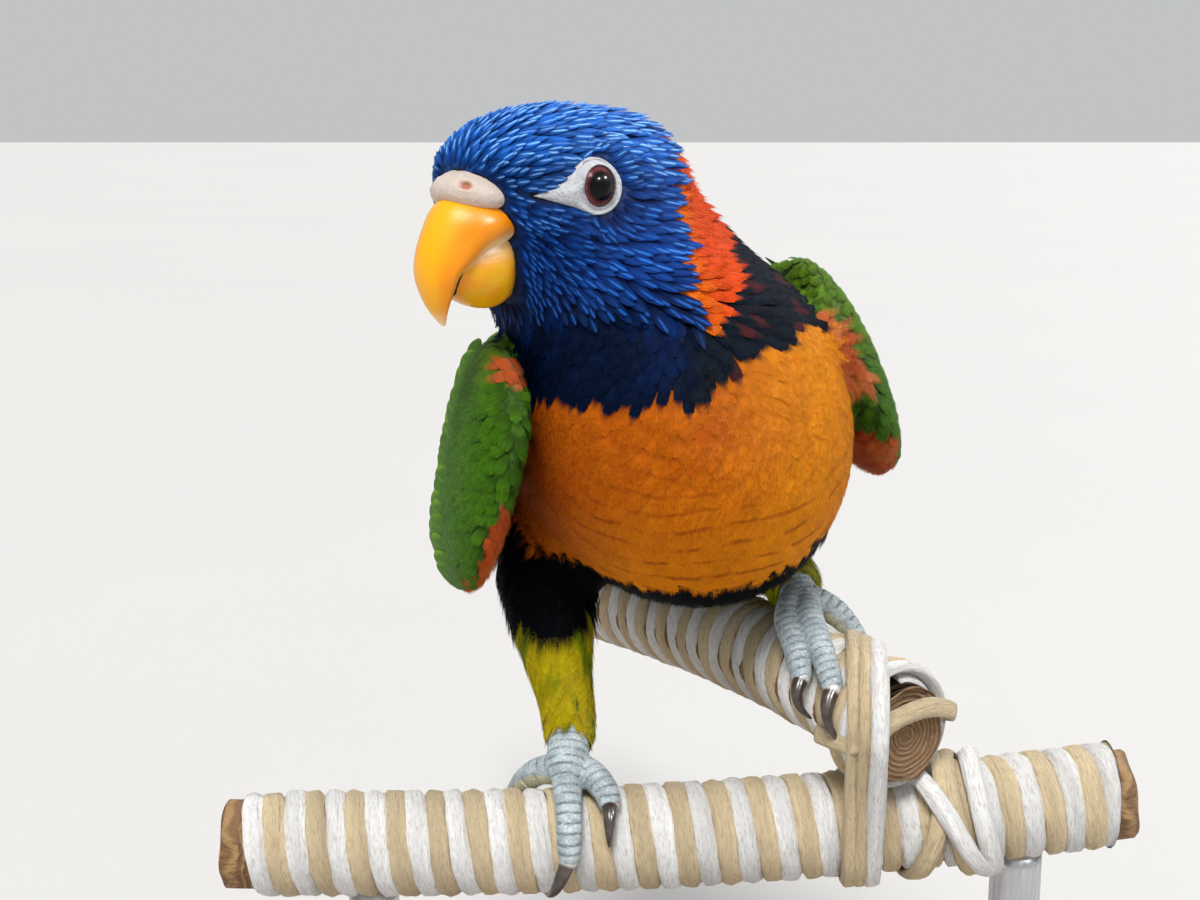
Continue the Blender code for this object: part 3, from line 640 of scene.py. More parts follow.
def regions(points, labels):
    """Region of the plumage at each point of the skin."""
    skull, body = inside(SKULL, points), inside(BODY, points)
    x, y, z = body.T
    back = skull[:, 0] + 0.43 * skull[:, 2]
    wave = ripple(points, 7.0, 3) * 0.8
    collar = 0.78 * np.clip(skull[:, 2] + 21.0 + wave, 0, 15)
    found = np.full(len(points), MANTLE)
    bib = 4.6 * np.exp(-(((y + 6.5) / 10.5) ** 2))
    high = z > 5.2 - bib + 0.5 * wave + 4.2 * step(-16, -27, y) + 1.2 * step(10, 18, y)
    front = back > -11.5 - 1.8 * step(4, 11, skull[:, 2]) + 0.5 * wave
    behind_collar = back < -11.5 - collar + 0.6 * wave

    belly_edge = -2 + 28 * step(-12, -27, z) + wave
    breast = ~high & (x > belly_edge) & (x > -12)
    flank = ~high & (x <= belly_edge) & (z < 4)
    found[flank] = np.where(x[flank] > -34 + 0.3 * z[flank], BELLY, VENT)
    side = flank & (z > -14) & (x < belly_edge)
    found[side] = np.where(x[side] > -16, BREAST, VENT)
    found[breast] = BREAST
    neck = high & (back > -30.0 + wave) & (x > 1) | (labels == "head") | (labels == "neck") & high
    found[neck] = np.where(front[neck], BLUE, np.where(behind_collar[neck], NAPE, COLLAR))
    found[neck & (found == COLLAR) & (z < 7.0)] = THROAT
    found[neck & front & (skull[:, 2] < -17.5 + 1.5 * wave)] = THROAT

    leg = np.isin(labels, ("leg_left", "leg_right"))
    right = labels == "leg_right"
    found[leg] = TIBIA
    jag = 109.5 + 2.6 * ripple(points * (1, 1, 0.2), 3.2, 8)
    found[right & (points[:, 2] > jag)] = THIGH
    found[(found == VENT) & (points[:, 2] < 118) & (x > -20)] = BELLY
    found[near_ankle(points, "left") < 0.9] = TIBIA

    for side in SIDES:
        here = labels == f"wing_{side}"
        if not here.any():
            continue
        middle, blade, outward, tall, _ = wing_frame(side, x[here])
        off = body[here] - middle
        across = (off * blade).sum(1) / tall
        face = (off * outward).sum(1)
        reach = x[here]
        height = points[here, 2]
        if side == "left":
            under = (across < 0.1) & (height < 144.5) & (face < 0.8) & (reach > -30)
            tuft = (height > 152) & (height < 163)
        else:
            under = (across < -0.80) & (face < 0.5) & (reach > -30) & (height < 138)
            tuft = (across > 0.0) & (height > 154) & (height < 159.5)
        under |= tuft & (face < 1.0) & (reach > 25.5)
        found[here] = np.where(under, WING_UNDER, WING_TOP)

    head = np.flatnonzero((labels == "head") | (labels == "neck"))
    horn = (horn_gap(points[head]) < 0.7) & ~behind_saddle(skull[head])
    ahead, above = skull[head, 0] - EYE_PLACE.x, skull[head, 2] - EYE_PLACE.z
    eyes = np.hypot(ahead, above) < 0.93 * ring_reach(np.arctan2(above, ahead))
    eyes |= (ahead > 4) & (ahead < 10) & (np.abs(above + 0.13 * ahead) < 0.6)
    saddle = in_saddle(skull[head]) < 1.02
    found[head[horn | saddle | eyes & (np.abs(skull[head, 1]) > 8)]] = BARE
    return found


def plumage_colours(points, found):
    """Feather colour and the colour of its light shaft or fringe, for each region."""
    look = bpy.context.scene.lorikeet_plumage
    skull, body = inside(SKULL, points), inside(BODY, points)
    tone = ripple(points, 5.0, 21)
    tint = np.zeros((len(points), 3))
    light = np.zeros((len(points), 3))

    def paint(code, base, fringe):
        here = found == code
        tint[here] = np.broadcast_to(base, (len(points), 3))[here]
        light[here] = np.broadcast_to(fringe, (len(points), 3))[here]

    # lighter towards the crown: partly the head's own blue, partly painted light from above
    crown = step(-2, 9, skull[:, 2] + 0.25 * (skull[:, 0] + 4))
    low = step(-7, -18, skull[:, 2])
    side_of_face = np.abs(skull[:, 1]) > 4
    lores = side_of_face * step(7.5, 1.5, np.linalg.norm((skull - (11, 0, 3.0)) * (0.55, 0, 1.3), axis=1))
    from_brow = np.hypot(skull[:, 0] - 3.6, skull[:, 2] - 1.2) - 5.6
    brow = side_of_face * step(4.2, 1.8, np.abs(from_brow)) * 0.45
    dark = np.clip(np.maximum(lores, brow), 0, 1)
    blue = mixed(look.cheek, look.crown, crown)
    streak = mixed(look.cheek_streak, look.crown_streak, np.clip(crown + 0.35 * step(0, -14, skull[:, 0]), 0, 1))
    for shade, on_blue, on_streak in ((low, 0.85, 0.72), (dark, 0.6, 0.5)):
        blue = mixed(blue, look.throat, on_blue * shade)
        streak = mixed(streak, look.cheek, on_streak * shade)
    paint(BLUE, blue, streak)
    glint = np.clip(0.2 + 0.9 * tone, 0, 1) * step(-30, -18, skull[:, 2])
    paint(THROAT, mixed(look.throat, look.cheek, 0.35 * glint), mixed(look.throat, look.cheek, 0.1 + 0.8 * glint))

    edge = step(3.2, 0.2, -11.5 - (skull[:, 0] + 0.43 * skull[:, 2]))
    paint(COLLAR, mixed(look.collar, look.breast, 0.4 * edge), mixed(look.collar, look.breast_light, 0.45))
    streaks = step(0.8, 1.05, tone)
    paint(NAPE, mixed(look.nape, look.collar, 0.06 * streaks), mixed(look.nape, look.collar, 0.03 + 0.15 * streaks))
    # painted shade: the breast is darkened towards the bird's right and on its far sides, and less so low on the
    # breast; the tips follow
    sink = step(-4, -26, body[:, 2])
    sides = step(17, 26, np.abs(body[:, 1])) * step(34, 20, body[:, 0])
    shaded_side = step(18, -6, body[:, 1])
    breast_shade_share = np.clip(0.80 * shaded_side + 0.2 * sides + 0.06 * tone - 0.6 * sink, 0, 1)
    orange = mixed(look.breast, look.shaded_breast, breast_shade_share)
    paint(BREAST, orange, mixed(look.breast_light, look.breast, breast_shade_share))
    paint(BELLY, look.belly, mixed(look.belly, look.nape, 0.6))
    paint(THIGH, look.belly, mixed(look.belly, look.nape, 0.4))
    paint(MANTLE, mixed(look.mantle, look.wing, np.clip(0.4 + 0.5 * tone, 0, 1)), look.lime)
    paint(VENT, mixed(look.tibia, look.wing, np.clip(0.35 + 0.5 * tone, 0, 1)), look.tibia)
    spots = step(0.55, 0.9, ripple(points, 4.6, 5)) * 0.75
    upper = step(112, 106, points[:, 2])
    shank = mixed(look.tibia, look.lime, 0.3 * (1 - upper))
    paint(TIBIA, mixed(shank, look.wing, spots), look.tibia_light)
    wing = mixed(look.wing, look.mantle, np.clip(0.4 + 0.6 * tone, 0, 1))
    wing = mixed(wing, look.lime, 0.3 * step(0.35, 1.1, ripple(points * (1, 1, 0.5), 9.0, 77)))
    # painted highlight: the wing turns lime-green towards its top, where the light falls
    wing = mixed(wing, look.lime, 0.3 * step(151, 163, points[:, 2]))
    paint(WING_TOP, wing, mixed(look.mantle, look.lime, 0.7))
    lining = mixed(look.salmon, look.salmon_light, np.clip(0.1 + 0.5 * tone, 0, 1))
    paint(WING_UNDER, lining, look.salmon_light)
    return tint, light


def lie(points, labels):
    """Direction in which the feathers lie at each point, before it is laid flat on the skin."""
    skull, body = inside(SKULL, points), inside(BODY, points)
    from_face = turned(SKULL, unit(skull - (16.0, 0.0, 3.0)))
    from_neck = turned(BODY, unit(body - (54.0, 0.0, 24.0)))
    low, high = np.array(BODY @ Vector((40, 0, 6))), np.array(HEAD_CENTRE)
    share = ((points - low) @ (high - low)) / ((high - low) @ (high - low))
    way = mixed(from_neck, from_face, step(0.05, 0.62, share))
    for side in SIDES:
        hip, *_, foot = (np.array(knot[:3]) for knot in LEGS[side])
        here = labels == f"leg_{side}"
        way[here] = mixed(way[here], unit(foot - hip), np.full(here.sum(), 0.85))
        way[labels == f"wing_{side}"] = turned(BODY, np.array([-1.0, 0.0, -0.22]))
    # close round the eye no feather runs towards it
    from_eye = (skull - EYE_PLACE) * (1, 0, 1)
    push = step(7.2, 3.8, np.linalg.norm(from_eye, axis=1)) * step(6.0, 10.0, np.abs(skull[:, 1]))
    way = unit(way)
    apart = turned(SKULL, unit(from_eye))
    toward = np.minimum(0.0, (apart * way).sum(1))
    return unit(way + (apart - way * toward[:, None]) * (0.6 * push)[:, None])


# ---- feathers ----
class Vane:
    """Pattern of one feather: a thin closed blade, with barbs parted at its tip if asked."""

    def __init__(self, outline, columns, barbs=0, crown=1.0):
        self.along, self.across, self.high, self.rim, self.faces = [], [], [], [], []
        spread = np.linspace(-1, 1, columns)
        rows = []
        for t, half in outline:
            if half == 0:
                rows.append([self.corner(t, 0.0, 0.0, True)])
            else:
                rows.append([self.corner(t, c * half, (1 - c * c) * crown, abs(c) == 1) for c in spread])
        self.faces.append(rows[0][::-1])
        for near, far in pairwise(rows):
            if len(far) > 1:
                for k in range(columns - 1):
                    self.faces.append([near[k], near[k + 1], far[k + 1], far[k]])
                self.faces.append([near[0], far[0], far[-1], near[-1]])
            else:
                for k in range(columns - 1):
                    self.faces.append([near[k], near[k + 1], far[0]])
                self.faces.append([near[0], far[0], near[-1]])
        if len(rows[-1]) > 1:
            self.faces.append(rows[-1])
            self.part_barbs(outline, barbs)
        self.along, self.across, self.high, self.rim = map(np.array, (self.along, self.across, self.high, self.rim))
        self.loops = np.array([v for f in self.faces for v in f])
        self.sizes = np.array([len(f) for f in self.faces])

    def corner(self, t, u, z, rim):
        self.along.append(t)
        self.across.append(u)
        self.high.append(z)
        self.rim.append(rim)
        return len(self.along) - 1

    def part_barbs(self, outline, barbs):
        """Fine pointed barbs past the blade's end, spread like a worn brush."""
        t, half = outline[-1]
        for k in range(barbs):
            left, right = (2 * (k + j) / barbs - 1 for j in (0.04, 0.96))
            middle = (left + right) / 2
            start = t - 0.20 * middle**2 - 0.04
            end = 1.0 - 0.36 * middle**2 - 0.04 * (k % 2) - 0.03 * (k % 3)
            a = self.corner(start, left * half, 1 - left**2, True)
            b = self.corner(start, right * half, 1 - right**2, True)
            m = self.corner(start, middle * half, -0.4, True)
            point = self.corner(end, middle * half * 1.18 + 0.03 * ((k * 7) % 3 - 1), 0.6 - middle**2, True)
            self.faces += [[a, b, point], [a, point, m], [b, m, point], [a, m, b]]


POINTED = Vane(((0.0, 0.4), (0.3, 0.9), (0.6, 1.0), (0.84, 0.66), (1.0, 0.0)), 3)
ROUNDED = Vane(((0.0, 0.3), (0.25, 0.85), (0.5, 1.0), (0.72, 0.97), (0.87, 0.76), (0.96, 0.42), (1.0, 0.0)), 5)
FRAYED = Vane(((0.0, 0.5), (0.28, 0.95), (0.54, 1.0), (0.70, 0.84)), 3, barbs=12)
WISPY = Vane(((0.0, 0.6), (0.25, 1.0), (0.42, 0.88)), 3, barbs=9)
HAIR = Vane(((0.0, 1.0), (0.5, 0.7), (1.0, 0.0)), 3, crown=1.6)
FLIGHT = Vane(
    ((0.0, 0.3), (0.1, 0.7), (0.25, 0.92), (0.4, 1.0), (0.55, 1.0), (0.7, 0.97), (0.82, 0.90), (0.90, 0.76),
     (0.955, 0.54), (0.985, 0.30), (1.0, 0.0)), 7,
)


class Plumes:
    """Feathers gathered for one piece of the coat."""

    def __init__(self):
        self.parts = []

    def add(self, vane, line, normal, width, low, high, tint, light, roots, thick=0.06, seed=0, vary=0.12):
        """Feathers along middle lines: line and normal are (feather, row, xyz), low and high their lift."""
        count, rows, _ = line.shape
        if not count:
            return
        picked = np.random.default_rng(seed)
        place = vane.along * (rows - 1)
        i = np.clip(place.astype(int), 0, rows - 2)
        t = (place - i)[None, :, None]
        middle = line[:, i] * (1 - t) + line[:, i + 1] * t
        up = unit(normal[:, i] * (1 - t) + normal[:, i + 1] * t)
        run = unit(line[:, i + 1] - line[:, i])
        side = unit(np.cross(run, up))
        width = np.broadcast_to(width, count)[:, None]
        low, high = (np.broadcast_to(v, count)[:, None] for v in (low, high))
        lift = low + (high - low) * vane.along[None, :] ** 1.3 + thick * vane.high[None, :]
        cup = 0.05 * width * (vane.across[None, :] ** 2)
        yaw = picked.normal(0, 0.035, (count, 1)) * vane.along[None, :] * width
        places = middle + side * (vane.across * width * 0.5 + yaw)[..., None] + up * (lift - cup)[..., None]
        shade = 1 - vary + 2 * vary * picked.random(count)
        self.parts.append((vane, places, tint * shade[:, None], light, roots, picked.random(count)))

    def build(self, name, finish):
        places, tints, lights, picks, rims, loops, sizes, vanes, bakes = ([] for _ in range(9))
        start = 0
        for vane, where, tint, light, roots, pick in self.parts:
            count, corners = where.shape[:2]
            places.append(where.reshape(-1, 3))
            tints.append(np.repeat(tint, corners, 0))
            lights.append(np.repeat(light, corners, 0))
            picks.append(np.repeat(pick, corners))
            rims.append(np.tile(vane.rim, count))
            loops.append((start + np.arange(count)[:, None] * corners + vane.loops).ravel())
            sizes.append(np.tile(vane.sizes, count))
            flat = np.stack([0.5 + 0.5 * vane.across, vane.along], -1)[vane.loops]
            vanes.append(np.tile(flat, (count, 1)))
            patch = bake_places(roots)[:, None] + (flat[None] - 0.5) * 0.003
            bakes.append(patch.reshape(-1, 2))
            start += count * corners
        mesh = bpy.data.meshes.new(name)
        whole = np.concatenate(loops)
        counts = np.concatenate(sizes)
        mesh.vertices.add(start)
        mesh.vertices.foreach_set("co", (np.concatenate(places) * MM).astype(np.float32).ravel())
        mesh.loops.add(len(whole))
        mesh.loops.foreach_set("vertex_index", whole.astype(np.int32))
        mesh.polygons.add(len(counts))
        mesh.polygons.foreach_set("loop_start", (np.cumsum(counts) - counts).astype(np.int32))
        mesh.polygons.foreach_set("loop_total", counts.astype(np.int32))
        mesh.update(calc_edges=True)
        for layer, values in (("OFBake", bakes), ("Vane", vanes)):
            made = mesh.uv_layers.new(name=layer)
            made.data.foreach_set("uv", np.clip(np.concatenate(values), 0, 1).astype(np.float32).ravel())
        set_tint(mesh, np.concatenate(tints))
        set_tint(mesh, np.concatenate(lights), "light")
        set_values(mesh, "pick", "FLOAT", np.concatenate(picks))
        mesh.materials.append(finish.material)
        mesh.shade_smooth()
        ends = np.zeros(len(mesh.edges) * 2, np.int32)
        mesh.edges.foreach_get("vertices", ends)
        crease = np.concatenate(rims)[ends.reshape(-1, 2)].all(1)
        mesh.attributes.new("sharp_edge", "BOOLEAN", "EDGE").data.foreach_set("value", crease)
        if mesh.validate():
            raise RuntimeError(f"{name} has broken faces")
        made = bpy.data.objects.new(name, mesh)
        bpy.context.scene.collection.objects.link(made)
        return made


@cache
def skin_mesh():
    """The finished skin's triangles, for planting feathers on it."""
    mesh = bpy.data.objects["skin"].data
    places = verts_of(mesh)
    mesh.calc_loop_triangles()
    corners = np.zeros(len(mesh.loop_triangles) * 3, np.int32)
    loops = np.zeros_like(corners)
    mesh.loop_triangles.foreach_get("vertices", corners)
    mesh.loop_triangles.foreach_get("loops", loops)
    flat = np.zeros(len(mesh.loops) * 2, np.float32)
    mesh.uv_layers["OFBake"].data.foreach_get("uv", flat)
    corners = corners.reshape(-1, 3)
    tree = BVHTree.FromPolygons(places.tolist(), corners.tolist())
    return places, corners, tree, flat.reshape(-1, 2)[loops.reshape(-1, 3)]


def bake_places(roots):
    """Place of each root on the unwrapped skin."""
    places, corners, tree, flat = skin_mesh()
    found = np.empty((len(roots), 2))
    for k, root in enumerate(roots.tolist()):
        at, _, face, _ = tree.find_nearest(root)
        a, b, c = places[corners[face]]
        u, v, w = b - a, c - a, np.array(at) - a
        uu, uv, vv, wu, wv = u @ u, u @ v, v @ v, w @ u, w @ v
        under = max(uu * vv - uv * uv, 1e-12)
        s, t = (vv * wu - uv * wv) / under, (uu * wv - uv * wu) / under
        found[k] = flat[face][0] * (1 - s - t) + flat[face][1] * s + flat[face][2] * t
    return np.clip(found, 0.002, 0.998)


# How far from its root a feather of each region shows, in millimetres.
SHOWS = {
    BARE: 0.0, BLUE: 4.2, THROAT: 4.2, COLLAR: 4.0, NAPE: 4.8, BREAST: 5.0, BELLY: 4.8, MANTLE: 6.6, VENT: 6.0,
    TIBIA: 4.0, THIGH: 4.2, WING_TOP: 4.6, WING_UNDER: 3.4,
}
# Room between the roots of each region's feathers, in millimetres.
SPACING = {
    BARE: 4.0, BLUE: 1.3, THROAT: 1.25, COLLAR: 1.2, NAPE: 1.2, BREAST: 1.25, BELLY: 1.5, MANTLE: 2.3, VENT: 2.0,
    TIBIA: 1.15, THIGH: 1.25, WING_TOP: 2.0, WING_UNDER: 1.15,
}


def spacing(points, found):
    """Room between feather roots: least on the face and at the bend of the wing."""
    gap = np.array([SPACING[k] for k in range(len(SPACING))])[found]
    gap = np.where(found == BLUE, 0.78 + 0.50 * face_size(points), gap)
    forward = inside(BODY, points)[:, 0]
    return np.where(found == WING_TOP, np.interp(forward, [-50, 0, 16, 30], [3.0, 2.1, 1.35, 1.15]), gap)


@cache
def roots():
    """Roots of the feathers strewn over the skin, with their part, region and where they show."""
    places, corners, tree, _ = skin_mesh()
    picked = np.random.default_rng(11)
    a, b, c = (places[corners[:, k]] for k in range(3))
    area = np.linalg.norm(np.cross(b - a, c - a), axis=1) / 2
    mesh = bpy.data.objects["skin"].data
    region = np.zeros(len(mesh.vertices), np.float32)
    mesh.attributes["region"].data.foreach_get("value", region)
    code = region[corners[:, 0]].astype(int)
    gap = spacing((a + b + c) / 3, code)
    wanted = np.where(code > 0, area / gap**2, 0.0)
    count = int(wanted.sum() * 3.2)
    chosen = picked.choice(len(area), count, p=wanted / wanted.sum())
    s, t = picked.random((2, count))
    flip = s + t > 1
    s[flip], t[flip] = 1 - s[flip], 1 - t[flip]
    spots = a[chosen] + (b - a)[chosen] * s[:, None] + (c - a)[chosen] * t[:, None]
    reach = gap[chosen] * (0.80 + 0.1 * picked.random(count))
    near = KDTree(count)
    for k, spot in enumerate(spots.tolist()):
        near.insert(spot, k)
    near.balance()
    kept = np.zeros(count, bool)
    for k, spot in enumerate(spots.tolist()):
        if not any(kept[j] for _, j, _ in near.find_range(spot, reach[k])):
            kept[k] = True
    spots = spots[kept]
    labels = part_labels(spots)
    found = regions(spots, labels)
    shown = np.empty_like(spots)
    ways = lie(spots, labels)
    ahead = np.array([SHOWS[k] for k in range(len(SHOWS))])[found]
    ahead = np.where(found == BLUE, 1.4 + 2.6 * face_size(spots), ahead)
    for k, spot in enumerate(spots.tolist()):
        up = np.array(tree.find_nearest(spot)[1])
        way = ways[k] - up * (ways[k] @ up)
        shown[k] = tree.find_nearest(spots[k] + way / max(np.linalg.norm(way), 1e-6) * ahead[k])[0]
    at_tip = regions(shown, labels)
    wing = np.isin(labels, ("wing_left", "wing_right"))
    return spots, labels, np.where((found == BARE) | wing, found, at_tip), shown


def laid(spots, ways, lengths, rows=5):
    """Middle lines that leave the roots along the ways and stay on the skin."""
    tree = skin_mesh()[2]
    lines = np.empty((len(spots), rows, 3))
    normals = np.empty_like(lines)
    find = tree.find_nearest
    for k in range(len(spots)):
        at = Vector(spots[k])
        way = Vector(ways[k])
        stride = lengths[k] / (rows - 1)
        up = find(at)[1]
        for r in range(rows):
            lines[k, r] = at
            normals[k, r] = up
            way = (way - up * way.dot(up)).normalized()
            ahead = find(at + way * stride)
            if ahead[1].dot(up) < 0.3:
                at = at + way * stride
                continue
            at, up = ahead[0], ahead[1]
    normals[:, 1:-1] = (normals[:, :-2] + 2 * normals[:, 1:-1] + normals[:, 2:]) / 4
    return lines, unit(normals)


def cover(plumes, code, vane, length, width, seed, high=1.0, thick=0.06, swirl=0.07, vary=0.12, where=None):
    """Feathers of one region, laid over the skin and gathered in plumes."""
    spots, labels, found, shown = roots()
    here = found == code
    if where is not None:
        here &= where(inside(BODY, spots)[:, 0], labels)
    spots, labels, shown = spots[here], labels[here], shown[here]
    count = len(spots)
    picked = np.random.default_rng(seed)
    ways = lie(spots, labels)
    ways = unit(ways + picked.normal(0, swirl, ways.shape))
    long, wide = (size(spots) if callable(size) else np.full(count, float(size)) for size in (length, width))
    long = long * picked.uniform(0.86, 1.14, count)
    wide = wide * picked.uniform(0.90, 1.10, count)
    lines, normals = laid(spots, ways, long)
    tint, light = plumage_colours(shown, np.full(count, code))
    top = coat_depth(spots) * high * picked.uniform(0.85, 1.10, count)
    if code in (BLUE, COLLAR):
        # the feathers stand up a little where the crown rolls over to the nape
        skull = inside(SKULL, spots)
        top = top + 1.3 * step(-3, -9, skull[:, 0]) * step(-4, 5, skull[:, 2])
    plumes.add(vane, lines, normals, wide, 0.12, top, tint, light, spots, thick, seed + 1, vary)


def face_size(spots):
    """Feathers are smallest round the bill and the eye."""
    skull = inside(SKULL, spots)
    bill = np.linalg.norm(skull - (13, 0, -4), axis=1)
    return np.minimum(step(7, 22, bill), step(3.5, 9, eye_gap(skull)) * 0.75 + 0.25)


# ---- material helpers ----
class Wiring:
    """Short ways to add nodes to one node tree."""

    def __init__(self, tree):
        self.tree = tree

    def node(self, kind, values=None, **settings):
        made = self.tree.nodes.new(kind)
        for key, value in settings.items():
            setattr(made, key, value)
        for socket, value in (values or {}).items():
            self.give(made.inputs[socket], value)
        return made

    def give(self, socket, value):
        """A socket gets a link from another node's output, or a plain value."""
        if isinstance(value, bpy.types.NodeSocket):
            self.tree.links.new(value, socket)
        else:
            socket.default_value = value

    def maths(self, operation, a, b=0.0, c=0.0, clamp=False):
        return self.node("ShaderNodeMath", {0: a, 1: b, 2: c}, operation=operation, use_clamp=clamp).outputs[0]

    def times(self, a, b, clamp=False):
        return self.maths("MULTIPLY", a, b, clamp=clamp)

    def times_plus(self, a, b, c, clamp=False):
        return self.maths("MULTIPLY_ADD", a, b, c, clamp)

    def less(self, a, b, clamp=False):
        return self.maths("SUBTRACT", a, b, clamp=clamp)

    def sine(self, a):
        return self.maths("SINE", a)

    def ramp(self, value, low, high, to_low=0.0, to_high=1.0):
        values = {"Value": value, "From Min": low, "From Max": high, "To Min": to_low, "To Max": to_high}
        return self.node("ShaderNodeMapRange", values, interpolation_type="SMOOTHSTEP").outputs["Result"]

    def mix(self, share, a, b, blend="MIX"):
        """Two colours mixed; a plain colour is given as red, green and blue."""
        made = self.node("ShaderNodeMix", data_type="RGBA", blend_type=blend)
        self.give(made.inputs[0], share)
        for socket, colour in ((made.inputs[6], a), (made.inputs[7], b)):
            self.give(socket, colour if isinstance(colour, bpy.types.NodeSocket) else (*colour, 1.0))
        return made.outputs[2]

    def noise(self, vector, scale, detail=2.0, rough=0.5):
        values = {"Vector": vector, "Scale": scale, "Detail": detail, "Roughness": rough}
        return self.node("ShaderNodeTexNoise", values).outputs["Fac"]

    def cells(self, vector, scale, feature="F1"):
        """Distance over the small cells of a pebbled grain."""
        values = {"Vector": vector, "Scale": scale}
        return self.node("ShaderNodeTexVoronoi", values, feature=feature).outputs["Distance"]

    def space(self, scale=(1.0, 1.0, 1.0)):
        place = self.node("ShaderNodeTexCoord").outputs["Object"]
        return self.node("ShaderNodeMapping", {"Vector": place, "Scale": scale}).outputs[0]

    def read(self, name, output="Color"):
        """A value that the mesh stores at its vertices."""
        return self.node("ShaderNodeAttribute", attribute_name=name).outputs[output]

    def split(self, vector):
        return self.node("ShaderNodeSeparateXYZ", {0: vector}).outputs

    def join(self, *values):
        return self.node("ShaderNodeCombineXYZ", dict(enumerate(values))).outputs[0]

    def stretched(self, vector, scale):
        return self.node("ShaderNodeVectorMath", {0: vector, 1: scale}, operation="MULTIPLY").outputs[0]


class Finish(Wiring):
    """Principled material with plain values on its shader's own sockets, and the nodes that feed it."""

    def __init__(self, name, **sockets):
        self.material = bpy.data.materials.new(name)
        self.material.use_nodes = True
        super().__init__(self.material.node_tree)
        self.shader = self.tree.nodes["Principled BSDF"]
        for key, value in sockets.items():
            self.shader.inputs[key.replace("_", " ")].default_value = value

    def feed(self, colour=None, rough=None):
        for socket, value in (("Base Color", colour), ("Roughness", rough)):
            if value is not None:
                self.tree.links.new(value, self.shader.inputs[socket])

    def relief(self, height, distance):
        made = self.node("ShaderNodeBump", {"Height": height, "Distance": distance})
        self.tree.links.new(made.outputs[0], self.shader.inputs["Normal"])


def group_of(name, inputs, outputs):
    """New node group of number inputs and named outputs, with its wiring and its two end nodes."""
    tree = bpy.data.node_groups.new(name, "ShaderNodeTree")
    for label, value in inputs.items():
        tree.interface.new_socket(name=label, in_out="INPUT", socket_type="NodeSocketFloat").default_value = value
    for label, kind in outputs.items():
        tree.interface.new_socket(name=label, in_out="OUTPUT", socket_type=f"NodeSocket{kind}")
    return Wiring(tree), tree.nodes.new("NodeGroupInput").outputs, tree.nodes.new("NodeGroupOutput").inputs


@cache
def plumage_group():
    """Colour, roughness and relief of a feather: barbs, light shaft, light fringe and shaded root."""
    nodes, given, result = group_of(
        "Plumage",
        {"Shaft": 0.5, "Fringe": 0.3, "Barbs": 0.5, "Along": 16.0, "Across": -9.0, "Root Shade": 0.5, "Shaft Width": 0.16},
        {"Color": "Color", "Roughness": "Float", "Height": "Float"},
    )
    tint, light, pick = nodes.read("tint"), nodes.read("light"), nodes.read("pick", "Fac")
    cut = nodes.split(nodes.node("ShaderNodeUVMap", uv_map="Vane").outputs[0])
    off = nodes.maths("ABSOLUTE", nodes.less(cut[0], 0.5))
    along = cut[1]
    side = nodes.times(off, 2.0)

    # the light shaft starts half-way along and fades at the tip; the light fringe runs round the tip
    ridge = nodes.less(1.0, nodes.maths("DIVIDE", side, given["Shaft Width"]), clamp=True)
    ridge = nodes.ramp(ridge, 0.0, 0.7)
    late = nodes.times(nodes.ramp(along, 0.38, 0.66), nodes.ramp(along, 1.0, 0.86))
    patchy = nodes.ramp(pick, 0.05, 0.75, 0.10, 1.0)
    shaft = nodes.times(nodes.times(ridge, late), given["Shaft"])
    shaft = nodes.times(shaft, patchy, clamp=True)
    rim = nodes.ramp(nodes.times_plus(side, 0.45, along), 0.90, 1.25)
    rim = nodes.times(nodes.times(rim, given["Fringe"]), patchy, clamp=True)

    # barbs slant off the shaft in a wavering comb
    combed = nodes.times_plus(side, given["Across"], nodes.times(along, given["Along"]))
    wobble = nodes.noise(nodes.join(combed, pick, along), 1.3)
    wave = nodes.sine(nodes.times_plus(wobble, 4.0, nodes.times(combed, 6.2832)))
    barb = nodes.times_plus(wave, 0.5, 0.5)
    barb_groove_shade = nodes.times(nodes.less(1.0, barb), given["Barbs"])

    colour = nodes.mix(rim, tint, light)
    colour = nodes.mix(shaft, colour, light)
    # painted shade: the barb grooves and the covered root darken towards the shadow colour
    root = nodes.times(nodes.ramp(along, 0.75, 0.15), given["Root Shade"])
    dim = nodes.times_plus(barb_groove_shade, 0.5, root, clamp=True)
    shadow = nodes.mix(1.0, colour, (0.42, 0.34, 0.40), "MULTIPLY")
    nodes.give(result["Color"], nodes.mix(dim, colour, shadow))
    nodes.give(result["Roughness"], nodes.times_plus(shaft, -0.14, 0.60))
    nodes.give(result["Height"], nodes.times_plus(shaft, 0.8, nodes.times(barb, given["Barbs"])))
    return nodes.tree


def feather_finish(name, specular=0.3, **values):
    """Finish of one kind of feather; the values go to the plumage group."""
    finish = Finish(name, Specular_IOR_Level=specular)
    coat = finish.node("ShaderNodeGroup", node_tree=plumage_group())
    for key, value in values.items():
        coat.inputs[key.replace("_", " ")].default_value = value
    finish.feed(coat.outputs["Color"], coat.outputs["Roughness"])
    finish.relief(coat.outputs["Height"], BARB_RELIEF)
    return finish


